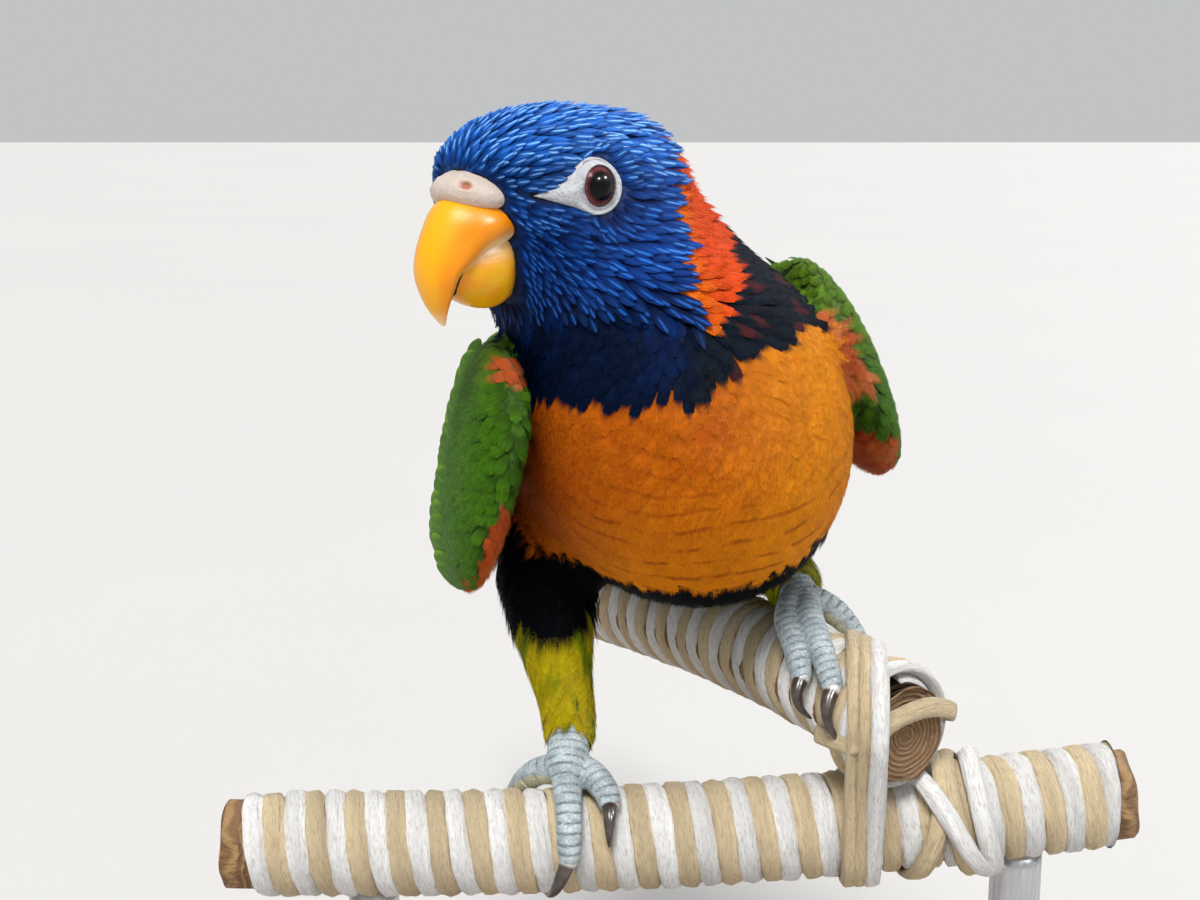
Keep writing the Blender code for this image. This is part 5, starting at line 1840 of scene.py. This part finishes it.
def eye_frame(side):
    """Eyeball's centre and the directions forward, up and out of the head at the eye, in the head's frame."""
    sign = 1 if side == "left" else -1
    centre = Vector((EYE_PLACE.x, EYE_PLACE.y * sign, EYE_PLACE.z))
    out = Vector((0.20, sign, 0.02)).normalized()
    up = (UP - out * out.z).normalized()
    ahead = (Vector((1, 0, 0)) - out * out.x - up * up.x).normalized()
    return centre, ahead, up, out


def eye_finish():
    """Wet eye: black pupil, red-brown iris with fine rays and a paler rim, by distance from its middle."""
    look = bpy.context.scene.lorikeet_bare_parts
    finish = Finish("eye", Roughness=0.3, Specular_IOR_Level=0.05, Coat_Weight=1.0, Coat_Roughness=0.015, Coat_IOR=1.2)
    away, turn, _ = finish.split(finish.read("gaze", "Vector"))
    rays = finish.noise(finish.join(finish.sine(turn), finish.maths("COSINE", turn)), 9.0, 3.0)
    ring = finish.mix(finish.ramp(away, 2.22, 2.5), look.iris, look.iris_rim)
    ring = finish.mix(finish.ramp(rays, 0.35, 0.65, 0.0, 0.45), ring, (0.018, 0.004, 0.004))
    white = finish.mix(finish.ramp(away, 2.72, 2.95), ring, (0.22, 0.16, 0.16))
    finish.feed(finish.mix(finish.ramp(away, 2.10, 1.96), white, (0.0015, 0.0012, 0.0015)))
    return finish


def eye_ring_finish():
    """Grey-white pebbled bare skin, dark along the lids."""
    look = bpy.context.scene.lorikeet_bare_parts
    finish = Finish(
        "eye ring skin", Roughness=0.55, Specular_IOR_Level=0.35, Subsurface_Weight=0.1, Subsurface_Radius=THIN_SKIN
    )
    space = finish.space()
    grain = finish.cells(space, 2100.0)
    cloud = finish.noise(space, 500.0, 3.0)
    rim = finish.read("rim", "Fac")
    skin = finish.mix(finish.ramp(cloud, 0.3, 0.7, 0.0, 0.45), look.eye_skin, (0.30, 0.31, 0.34))
    finish.feed(finish.mix(rim, skin, (0.075, 0.06, 0.065)))
    finish.relief(grain, 0.00014)
    return finish


def eyeball(side, finish):
    """Ball with a bulging cornea; its gaze value holds the distance from the pupil's middle and the turn."""
    centre, ahead, up, out = eye_frame(side)
    bm = bmesh.new()
    bmesh.ops.create_uvsphere(bm, u_segments=64, v_segments=48, radius=EYE_RADIUS)
    gaze = []
    turn = Matrix((ahead, up, out)).transposed()
    for vert in bm.verts:
        flat = math.hypot(vert.co.x, vert.co.y)
        front = vert.co.z > 0
        away = flat if front else EYE_RADIUS * 2 - flat
        bulge = 0.28 * math.exp(-((flat / 2.2) ** 4)) if front else 0.0
        gaze.append((away, math.atan2(vert.co.y, vert.co.x), 0.0))
        local = centre + turn @ (vert.co + vert.co.normalized() * (bulge - 0.18))
        vert.co = SKULL @ local * MM
    made = add_object(f"eyeball_{side}", bm, finish.material)
    set_values(made.data, "gaze", "FLOAT_VECTOR", gaze)
    return place_piece(made, "eye", f"eye_{side}")


def eye_ring(side, finish):
    """Lids and bare ring, laid on the ball inside and on the head outside."""
    centre, ahead, up, out = eye_frame(side)
    head = part_trees()["head"]
    rings, rims = [], []
    for share, lift, dark in LID_BANDS:
        ring = []
        for a in turns(96):
            bearing = (a + math.pi) % (2 * math.pi) - math.pi
            inner = 2.55 * math.hypot(math.cos(a), 1.16 * math.sin(a))
            reach = inner + (float(ring_reach(bearing)) - inner) * share
            flat = centre + ahead * reach * math.cos(a) + up * reach * math.sin(a)
            hit = head.ray_cast(SKULL @ (flat + out * 12), -(SKULL.to_3x3() @ out))
            if hit[0] is None:
                raise RuntimeError("the eye ring misses the head")
            form = (SKULL.inverted() @ hit[0] - centre).dot(out) - 0.1
            ball_top = math.sqrt(max(0.0, EYE_RADIUS**2 - min(reach, 4.2) ** 2)) - 0.1
            leave = float(step(2.9, 4.2, reach))
            height = ball_top * (1 - leave) + max(form, ball_top * 0.9 * (reach < 4.0)) * leave
            ring.append(SKULL @ (flat + out * (height + lift)))
            rims.append(dark)
        rings.append(ring)
    made = add_object(f"eye_ring_{side}", loft(rings, capped=False), finish.material)
    set_values(made.data, "rim", "FLOAT", rims)
    return place_piece(made, "cere")


class LORIKEET_OT_eyes(bpy.types.Operator):
    """Dark eyes with a red-brown iris, in rings of bare grey-white skin"""

    bl_idname = "lorikeet.eyes"
    bl_label = "Eyes"

    def execute(self, context):
        ball, ring = eye_finish(), eye_ring_finish()
        for side in SIDES:
            eyeball(side, ball)
            eye_ring(side, ring)
        return {"FINISHED"}


# ---- claws ----
def claw_finish():
    """Streaky brown-black horn with a pale cuticle at its root."""
    look = bpy.context.scene.lorikeet_bare_parts
    finish = Finish("claw horn", Roughness=0.3, Specular_IOR_Level=0.5, Coat_Weight=0.3, Coat_Roughness=0.15)
    root = finish.read("root", "Fac")
    streak = finish.noise(finish.space(), 900.0, 3.0)
    dark = finish.mix(finish.ramp(streak, 0.3, 0.7, 0.0, 0.6), look.claw, (0.10, 0.075, 0.06))
    finish.feed(finish.mix(finish.ramp(root, 0.86, 0.93), dark, (0.62, 0.60, 0.56)))
    finish.relief(streak, 0.00006)
    return finish


def claw(side, digit, finish, count=26, sides=16):
    """Claw leaving the toe's last grip and closing on the rod."""
    shift, sweep, close = CLAWS[side][digit]
    start = TOES[side][digit][-1]
    points, radii, share = [], [], []
    for i in range(count + 1):
        t = i / count
        hump = CLAW_HUMP * math.sin(math.pi * t) + start.lift * (1 - t) + close * t
        points.append(grip_point(side, start.along + shift * t, start.angle + sweep * t, hump))
        cuff = 0.22 * math.exp(-(((t - 0.03) / 0.05) ** 2))
        radii.append(CLAW_RADIUS * (1 - 0.84 * t**1.4) + cuff)
        share += [1 - t] * sides
    made = add_object(f"claw_horn_{side}_{digit}", loft(tube_rings(points, radii, sides)), finish.material)
    set_values(made.data, "root", "FLOAT", share)
    return place_piece(made, "claw", f"claw_{side}_{digit}")


class LORIKEET_OT_claws(bpy.types.Operator):
    """Curved brown-black claws, each out of a pale cuticle"""

    bl_idname = "lorikeet.claws"
    bl_label = "Claws"

    def execute(self, context):
        finish = claw_finish()
        for side in SIDES:
            for digit in CLAWS[side]:
                claw(side, digit, finish)
        return {"FINISHED"}


# ---- perch ----
def cord_finish():
    """Twisted paper cord: long fibres, soft creases darkened as painted shade, and a little grime."""
    finish = Finish("paper cord", Roughness=0.72, Specular_IOR_Level=0.25, Sheen_Weight=0.1)
    tint = finish.read("tint")
    long = finish.stretched(finish.read("fibre", "Vector"), (1.0, 1.0, 0.16))
    fine = finish.noise(long, 7.0, 5.0, 0.65)
    broad = finish.noise(long, 1.9, 2.0)
    grime = finish.noise(finish.space(), 60.0, 3.0)
    # painted shade: the cord darkens along the creases between its fibres
    crease = finish.ramp(fine, 0.34, 0.52, 0.55, 0.0)
    dirty = finish.ramp(grime, 0.55, 0.75, 0.0, 0.22)
    colour = finish.mix(crease, tint, finish.mix(1.0, tint, (0.55, 0.46, 0.36), "MULTIPLY"))
    colour = finish.mix(dirty, colour, finish.mix(1.0, tint, (0.62, 0.52, 0.38), "MULTIPLY"))
    finish.feed(colour)
    finish.relief(finish.times_plus(fine, 0.7, broad), 0.0008)
    return finish


def wound_rod(name, point_at, side_way, length, seed, finish):
    """Two strands of cord, white and tan, wound side by side round a rod from end to end."""
    look = bpy.context.scene.lorikeet_perch
    width = look.strand / MM
    sides = look.strand_sides
    picked = np.random.default_rng(seed)
    per_turn = CORD_STEPS
    lead = 2 * width
    count = int(length / lead * per_turn)
    parts, tints, fibres = [], [], []
    wobble = picked.normal(0, 0.10, 400)
    for number, tint in enumerate((look.white, look.tan)):
        bm = bmesh.new()
        half_wide, half_thick = width * 0.53, 1.02
        bmesh.ops.create_circle(bm, segments=sides, radius=1.0)
        for vert in bm.verts:
            a, b = vert.co.x, vert.co.y
            square = math.copysign(abs(a) ** 0.8, a)
            vert.co = Vector((square * half_wide, 0, ROD_RADIUS - half_thick + b * half_thick)) * MM
        bmesh.ops.spin(
            bm, geom=[*bm.verts, *bm.edges], cent=(0, 0, 0), axis=(1, 0, 0), angle=2 * math.pi * count / per_turn,
            dvec=Vector((lead / per_turn, 0, 0)) * MM, steps=count, use_merge=False, use_duplicate=False,
        )
        bm.verts.ensure_lookup_table()
        profile = [math.atan2(v.co.z / MM - ROD_RADIUS + half_thick, v.co.x / MM) for v in bm.verts[:sides]]
        bmesh.ops.holes_fill(bm, edges=[e for e in bm.edges if e.is_boundary], sides=0)
        bmesh.ops.recalc_face_normals(bm, faces=bm.faces)
        places = places_of(bm)
        k = np.arange(len(places)) // sides
        turn = k / per_turn
        centre_x = k * lead / per_turn
        slack = np.interp(turn * 3 + number * 131, np.arange(400), wobble)
        swell = 1 + 0.10 * np.sin(turn * 2.1 + number * 2) * np.interp(turn * 5, np.arange(400), np.abs(wobble) * 6)
        away = np.hypot(places[:, 1], places[:, 2])
        sag = 0.06 * np.sin(turn * 17 + number)
        x = centre_x + (places[:, 0] - centre_x) * swell + slack + number * width + width * 0.5
        angle = np.tile(profile, len(places) // sides)
        pleat = 0.11 * np.cos(4 * angle + 2.2 * np.sin(turn * 5.3 + number * 2)) + 0.05 * np.sin(turn * 41 + 2 * angle)
        x += half_wide * np.cos(angle) * pleat
        keep = np.clip(x, 0.2, length - 0.2)
        ratio = (away + half_thick * np.sin(angle) * pleat + sag * (away > ROD_RADIUS - 1.0)) / away
        y, z = places[:, 1] * ratio, places[:, 2] * ratio
        for vert, along, across, high in zip(bm.verts, keep, y, z):
            vert.co = (point_at(along) + side_way * across + Vector((0, 0, high))) * MM
        twist = angle + turn * 1.3
        travelled = turn * 2 * math.pi * ROD_RADIUS / 1.5 + number * 50
        fibres.append(np.stack([np.cos(twist), np.sin(twist), travelled], -1))
        shade = 1 + 0.07 * np.interp(turn, np.arange(400), picked.normal(0, 1, 400))
        tints.append(np.array(tint)[None] * shade[:, None])
        parts.append(bm)
    made = add_object(name, merged(*parts), finish.material, recalc=False)
    set_tint(made.data, np.clip(np.vstack(tints), 0, 1))
    set_values(made.data, "fibre", "FLOAT_VECTOR", np.vstack(fibres))
    return made


def strap(points, outs, half_wide, half_thick, sides=14, capped=True):
    """Flattened strand along points; outs point away from what it lies on. Returns mesh and fibre values."""
    rings, fibre = [], []
    travelled = 0.0
    for i, point in enumerate(points):
        ahead, behind = points[(i + 1) % len(points)], points[i - 1]
        if capped:
            ahead, behind = points[min(i + 1, len(points) - 1)], points[max(i - 1, 0)]
        run = (ahead - behind).normalized()
        out = (outs[i] - run * outs[i].dot(run)).normalized()
        side = run.cross(out)
        if i:
            travelled += (point - points[i - 1]).length
        ring = []
        for a in turns(sides):
            square = math.copysign(abs(math.cos(a)) ** 0.8, math.cos(a))
            pleat = 1 + 0.09 * math.cos(4 * a + 2 * math.sin(0.13 * travelled + half_wide * 9))
            ring.append(point + (side * half_wide * square + out * half_thick * math.sin(a)) * pleat)
            fibre.append((math.cos(a), math.sin(a), travelled / 1.5))
        rings.append(ring)
    return loft(rings, capped), fibre


def hull_loop(points):
    """Convex loop round flat points, as a taut band would take it."""
    ordered = sorted(set(points))

    def half(row):
        kept = []
        for p in row:
            while len(kept) > 1:
                (ax, ay), (bx, by) = kept[-2:]
                if (bx - ax) * (p[1] - ay) - (by - ay) * (p[0] - ax) > 0:
                    break
                kept.pop()
            kept.append(p)
        return kept[:-1]

    return half(ordered) + half(ordered[::-1])


def loop_round(rods, middle, heading, reach, count=80, tilt=0.0):
    """Closed taut loop round rods, given as (point, direction), in a plane through the middle."""
    across = level(heading)
    upright = (UP + across.cross(UP) * tilt).normalized()
    normal = across.cross(upright)
    flat = []
    for point, run in rods:
        centre = point + run * ((middle - point).dot(normal) / run.dot(normal))
        side = run.cross(normal).normalized()
        other = run.cross(side).normalized()
        for a in turns(72):
            place = centre + (side * math.cos(a) + other * math.sin(a)) * reach
            place = place + run * ((middle - place).dot(normal) / run.dot(normal)) - middle
            flat.append((round(place.dot(across), 4), round(place.dot(upright), 4)))
    corners = [Vector(c) for c in hull_loop(flat)]
    corners.append(corners[0])
    lengths = [(b - a).length for a, b in pairwise(corners)]
    pace = sum(lengths) / count
    loop, i, walked = [], 0, 0.0
    for k in range(count):
        while walked + lengths[i] < k * pace:
            walked += lengths[i]
            i += 1
        loop.append(corners[i].lerp(corners[i + 1], (k * pace - walked) / lengths[i]))
    points, outs = [], []
    for i, p in enumerate(loop):
        run = (loop[(i + 1) % count] - loop[i - 1]).normalized()
        points.append(middle + across * p.x + upright * p.y)
        outs.append(across * run.y - upright * run.x)
    start = max(range(count), key=lambda i: points[i].y)
    return points[start:] + points[:start], outs[start:] + outs[:start]


def loose_turn():
    """Middle line of the loose turn that slants over the front rod."""
    points, outs = [], []
    for i in range(60):
        t = i / 59
        turn = math.radians(-150 + 330 * t)
        outs.append(Vector((0, -math.sin(turn), math.cos(turn))))
        points.append(front_rod_point(19 + 33 * t) + outs[-1] * (ROD_RADIUS + 1.9 - 1.6 * abs(2 * t - 1) ** 4))
    return points, outs


def end_tie():
    """Middle line of the strand that is drawn across the back rod's sawn end."""
    points, outs = [], []
    for knot in resampled(END_TIE, 48):
        points.append(back_rod_point(knot.x) - BACK_ROD_SIDE * knot.y + Vector((0, 0, knot.z)))
        leave = 1.5 if knot.x < 1 else 0.1
        outs.append((-BACK_ROD_SIDE * knot.y * 0.2 - BACK_ROD_RUN * leave).normalized())
    return points, outs


def lashing(look, finish):
    """Bands round both rods, turns round each rod alone, and the two strands that hang loose."""
    parts, tints, fibres = [], [], []

    def wind(line, tint, wide, thick, closed=True):
        bm, fibre = strap(*line, wide, thick, capped=not closed)
        if closed:
            bmesh.ops.bridge_loops(bm, edges=[e for e in bm.edges if e.is_boundary])
            bmesh.ops.recalc_face_normals(bm, faces=bm.faces)
        parts.append(bm)
        tints.extend([tuple(tint)] * len(fibre))
        fibres.extend(fibre)

    rods = ((front_rod_point(31.0), Vector((1, 0, 0))), (back_rod_point(9.4), BACK_ROD_RUN))
    heading = 84
    for shift, tint, lift in ((-3.6, look.tan, 1.15), (-1.9, look.tan, 1.05), (-0.2, look.white, 1.1)):
        middle = CROSSING + level(heading).cross(UP) * shift
        wind(loop_round(rods, middle, heading, ROD_RADIUS + lift), tint, 1.35, 0.95)
    front = (front_rod_point(45.0), Vector((1, 0, 0.09)).normalized())
    back = (back_rod_point(3.0), BACK_ROD_RUN)
    for rod, middle, tint, heading, tilt, thick in (
        (front, front_rod_point(38.5), look.tan, 96, 0.22, 0.85),
        (front, front_rod_point(44.5), look.tan, 80, -0.3, 0.85),
        (front, front_rod_point(48.0), look.white, 84, -0.25, 0.85),
        (back, back_rod_point(1.8), look.white, 32, 0.0, 0.9),
        (back, back_rod_point(4.8), look.tan, 36, 0.15, 0.9),
    ):
        wind(loop_round((rod,), middle, heading, ROD_RADIUS + 0.75, tilt=tilt), tint, 1.6, thick)
    wind(loose_turn(), look.white, 1.5, 0.95, closed=False)
    wind(end_tie(), look.tan, 1.5, 0.85, closed=False)
    made = add_object("cord_lashing", merged(*parts), finish.material, recalc=False)
    set_tint(made.data, np.array(tints))
    set_values(made.data, "fibre", "FLOAT_VECTOR", fibres)
    return place_piece(made, "wrapping", "perch_lashing")


def stick_finish(look):
    """Bare wood with year rings on its sawn ends."""
    finish = Finish("stick wood", Roughness=0.7, Specular_IOR_Level=0.3)
    space = finish.read("grain", "Vector")
    gap = finish.split(space)[0]
    warp = finish.noise(space, 0.35, 3.0)
    rings = finish.sine(finish.times_plus(warp, 9.0, finish.times(gap, 7.5)))
    rough_cut = finish.noise(space, 3.0, 4.0)
    brown = finish.mix(finish.ramp(rings, -0.6, 0.9, 0.0, 0.7), look.bark, (0.40, 0.24, 0.10))
    finish.feed(finish.mix(finish.ramp(rough_cut, 0.5, 0.8, 0.0, 0.7), brown, (0.05, 0.025, 0.012)))
    finish.relief(finish.times_plus(rings, 0.2, rough_cut), 0.0007)
    return finish


def stick(name, point_at, length, past, radius, finish):
    """Wooden core of a rod, with splintered sawn ends past its cord."""
    sawn = [(-past, share) for share in (0.12, 0.3, 0.5, 0.7, 0.86, 0.95)]
    body = [(-past + 0.35, 1.0), *((s, 1.0) for s in np.linspace(0, length, 9)), (length + past - 0.35, 1.0)]
    far = [(length + past, share) for _, share in reversed(sawn)]
    rings = []
    for along, share in (*sawn, *body, *far):
        middle = point_at(along)
        run = (point_at(along + 1.0) - point_at(along - 1.0)).normalized()
        side = (UP - run * run.z).normalized()
        across = run.cross(side)
        ring = []
        for a in turns(48):
            reach = radius * share * (1 + 0.03 * math.sin(3 * a) + 0.02 * math.sin(7 * a + 1))
            splinter = 0.14 * math.sin(5 * a + 9 * share) if share < 1 else 0.0
            ring.append(middle + (side * math.cos(a) + across * math.sin(a)) * reach + run * splinter)
        rings.append(ring)
    made = add_object(f"stick_{name}", loft(rings), finish.material)
    places = verts_of(made.data)
    ends = np.array([point_at(-past), point_at(length + past)])
    gap = np.linalg.norm(places[:, None] - ends, axis=2).min(1)
    set_values(made.data, "grain", "FLOAT_VECTOR", np.column_stack([gap, places[:, 1:] * 0.4]))
    return place_piece(made, "bare_wood", f"perch_stick_{name}")


class LORIKEET_OT_perch(bpy.types.Operator):
    """Two sticks wound with white and tan paper cord, lashed where they cross"""

    bl_idname = "lorikeet.perch"
    bl_label = "Perch"

    def execute(self, context):
        look = context.scene.lorikeet_perch
        cord, wood = cord_finish(), stick_finish(look)
        for name, point_at, side_way, length, seed in (
            ("front", front_rod_along, Vector((0, 1, 0)), FRONT_ROD_LENGTH, 901),
            ("back", back_rod_point, BACK_ROD_SIDE, BACK_ROD_LENGTH, 911),
        ):
            place_piece(wound_rod(f"cord_{name}", point_at, side_way, length, seed, cord), "wrapping", f"perch_wrap_{name}")
        lashing(look, cord)
        stick("front", front_rod_along, FRONT_ROD_LENGTH, STICK_SHOWS, STICK_RADIUS + 0.4, wood)
        stick("back", back_rod_point, BACK_ROD_LENGTH, STICK_SHOWS * 0.4, STICK_RADIUS + 1.1, wood)
        return {"FINISHED"}


# ---- stand ----
def walnut_finish(look):
    """Varnished wood, grained along the board."""
    finish = Finish(
        "varnished walnut", Roughness=0.35, Coat_Weight=0.45, Coat_Roughness=0.12, Specular_IOR_Level=0.45
    )
    warp = finish.noise(finish.space((1.0, 9.0, 9.0)), 14.0, 4.0, 0.6)
    line = finish.noise(finish.space((2.0, 70.0, 70.0)), 9.0, 5.0, 0.6)
    grain = finish.sine(finish.times(warp, 30.0))
    colour = finish.mix(finish.ramp(grain, -0.8, 0.9), look.walnut, (0.19, 0.092, 0.042))
    colour = finish.mix(finish.ramp(line, 0.5, 0.72, 0.0, 0.6), colour, (0.03, 0.014, 0.008))
    finish.feed(colour, finish.ramp(line, 0.3, 0.7, 0.28, 0.45))
    finish.relief(line, 0.00015)
    return finish


def base_board(finish):
    """Board with round corners and a softened top edge."""
    bm = bmesh.new()
    bmesh.ops.create_cube(bm, size=1.0)
    for vert in bm.verts:
        vert.co = Vector((vert.co.x * BASE_WIDTH, vert.co.y * BASE_DEPTH, (vert.co.z + 0.5) * BASE_HEIGHT)) * MM

    def rounded(edges, radius, segments):
        bmesh.ops.bevel(
            bm, geom=edges, offset=radius * MM, offset_type="OFFSET", segments=segments, profile=0.5,
            affect="EDGES", material=-1,
        )

    rounded([e for e in bm.edges if abs(e.verts[0].co.z - e.verts[1].co.z) > MM], BASE_CORNER, 20)
    bm.normal_update()
    top = [f for f in bm.faces if f.normal.z > 0.9]
    rounded(list({e for f in top for e in f.edges if any(abs(g.normal.z) < 0.1 for g in e.link_faces)}), 2.0, 5)
    made = add_object("base_board", bm, finish.material)
    made.modifiers.new("Crisp", "WEIGHTED_NORMAL").keep_sharp = True
    return place_piece(made, "stand_wood", "stand_base")


def steel_finish(look):
    """Satin steel, brushed along the post."""
    finish = Finish("satin steel", Metallic=1.0, Roughness=0.3, Anisotropic=0.4)
    brush = finish.noise(finish.space((60.0, 60.0, 3.0)), 40.0, 3.0)
    shade = finish.mix(finish.ramp(brush, 0.3, 0.7), look.steel, (0.46, 0.46, 0.48))
    finish.feed(shade, finish.ramp(brush, 0.3, 0.7, 0.24, 0.42))
    finish.relief(brush, 0.00004)
    return finish


def post(number, x, finish):
    """Post with a stepped foot on the board, up into the front rod."""
    top = front_rod_point(x).z - POST_REACH
    floor = BASE_HEIGHT + 0.35
    shape = (
        (floor, 2.6), (floor + 1.4, 2.6), (floor + 2.0, 2.0), (floor + 2.4, 0.3), (floor + 2.8, 0.0), (top - 3, 0.0),
        (top, 0.0),
    )
    rings = []
    for z, flange in shape:
        radius = POST_RADIUS + flange
        ring = [Vector((x + radius * math.cos(a), FRONT_ROD_Y + radius * math.sin(a), z)) for a in turns(40)]
        rings.append(ring)
    made = add_object(f"post_{number}", loft(rings), finish.material)
    return place_piece(made, "stand_metal", f"stand_post_{number}")


class LORIKEET_OT_stand(bpy.types.Operator):
    """Varnished round-cornered base and two satin steel posts"""

    bl_idname = "lorikeet.stand"
    bl_label = "Stand"

    def execute(self, context):
        look = context.scene.lorikeet_perch
        base_board(walnut_finish(look))
        steel = steel_finish(look)
        for number, x in enumerate(POSTS_X, start=1):
            post(number, x, steel)
        return {"FINISHED"}


# ---- stage ----
def add_lamp(name, kind, place, aim, **settings):
    """Lamp at a place, turned to shine at a point."""
    lamp = bpy.data.lights.new(name, kind)
    for key, value in settings.items():
        setattr(lamp, key, value)
    made = bpy.data.objects.new(name, lamp)
    made.location = place
    made.rotation_euler = (Vector(aim) - Vector(place)).to_track_quat("-Z", "Y").to_euler()
    bpy.context.scene.collection.objects.link(made)
    return made


def pale_floor(look):
    finish = Finish("pale floor", Roughness=0.6, Specular_IOR_Level=0.3)
    soft = finish.noise(finish.space(), 3.0, 2.0)
    finish.feed(finish.mix(finish.ramp(soft, 0.3, 0.7, 0.0, 0.12), look.floor, (0.63, 0.615, 0.59)))
    bm = bmesh.new()
    bmesh.ops.create_grid(bm, x_segments=1, y_segments=1, size=6.0)
    floor = add_object("floor", bm, finish.material, recalc=False)


class LORIKEET_OT_stage(bpy.types.Operator):
    """Pale floor, soft studio light and the camera"""

    bl_idname = "lorikeet.stage"
    bl_label = "Stage"

    def execute(self, context):
        scene = context.scene
        look = scene.lorikeet_stage
        pale_floor(look)
        for name, place, strength, softness in (
            ("light_key", (-0.1, -0.65, 1.0), look.key, 22.0),
            ("light_back", (0.5, 0.9, 1.0), look.key * 0.35, 30.0),
        ):
            add_lamp(name, "SUN", place, (0, 0, 0), energy=strength, angle=math.radians(softness))
        # the two windows show only as glints in the eyes and on the bill
        for name, place, width in (
            ("window_left", (0.60, -0.585, 0.755), 0.17), ("window_right", (0.865, 0.0, 0.675), 0.20),
        ):
            window = add_lamp(
                name, "AREA", place, (-0.01, -0.02, 0.18), shape="RECTANGLE", size=width, size_y=0.10, energy=look.window
            )
            window.visible_diffuse = False
        world = bpy.data.worlds.new("studio")
        world.use_nodes = True
        sky = world.node_tree.nodes["Background"]
        sky.inputs["Color"].default_value = (0.93, 0.94, 0.96, 1.0)
        sky.inputs["Strength"].default_value = look.fill
        scene.world = world
        scene.view_settings.view_transform = "Standard"

        view = bpy.data.cameras.new("camera")
        view.lens = look.lens
        view.sensor_width = SENSOR_WIDTH
        view.clip_start = 0.01
        camera = bpy.data.objects.new("camera", view)
        camera.location = CAMERA_PLACE * MM
        camera.rotation_euler = (math.radians(90 - CAMERA_DIP), 0.0, 0.0)
        scene.collection.objects.link(camera)
        scene.camera = camera
        return {"FINISHED"}


STEPS = (
    LORIKEET_OT_skin, LORIKEET_OT_head_coat, LORIKEET_OT_dark_coat, LORIKEET_OT_breast_coat, LORIKEET_OT_back_coat,
    LORIKEET_OT_leg_coat, LORIKEET_OT_wing_coat, LORIKEET_OT_lining_coat, LORIKEET_OT_tail_coat, LORIKEET_OT_bill,
    LORIKEET_OT_cere, LORIKEET_OT_eyes, LORIKEET_OT_claws, LORIKEET_OT_perch, LORIKEET_OT_stand, LORIKEET_OT_stage,
)
SETTINGS = {
    "lorikeet_plumage": LorikeetPlumage, "lorikeet_bare_parts": LorikeetBareParts,
    "lorikeet_perch": LorikeetPerch, "lorikeet_stage": LorikeetStage,
}


class LORIKEET_PT_panel(bpy.types.Panel):
    """The lorikeet's pieces and their settings"""

    bl_idname = "LORIKEET_PT_panel"
    bl_label = "Lorikeet"
    bl_space_type = "VIEW_3D"
    bl_region_type = "UI"
    bl_category = "Lorikeet"

    def draw(self, context):
        column = self.layout.column()
        for step_class in STEPS:
            column.operator(step_class.bl_idname)
        for name, group in SETTINGS.items():
            column.label(text=group.__doc__)
            for key in group.__annotations__:
                column.prop(getattr(context.scene, name), key)


def register():
    for made in (*SETTINGS.values(), *STEPS, LORIKEET_PT_panel):
        bpy.utils.register_class(made)
    for name, group in SETTINGS.items():
        setattr(bpy.types.Scene, name, PointerProperty(type=group))


def unregister():
    for name in SETTINGS:
        delattr(bpy.types.Scene, name)
    for made in reversed((*SETTINGS.values(), *STEPS, LORIKEET_PT_panel)):
        bpy.utils.unregister_class(made)


def main():
    register()
    for step_class in STEPS:
        area, action = step_class.bl_idname.split(".")
        getattr(getattr(bpy.ops, area), action)()


if __name__ == "__main__":
    main()
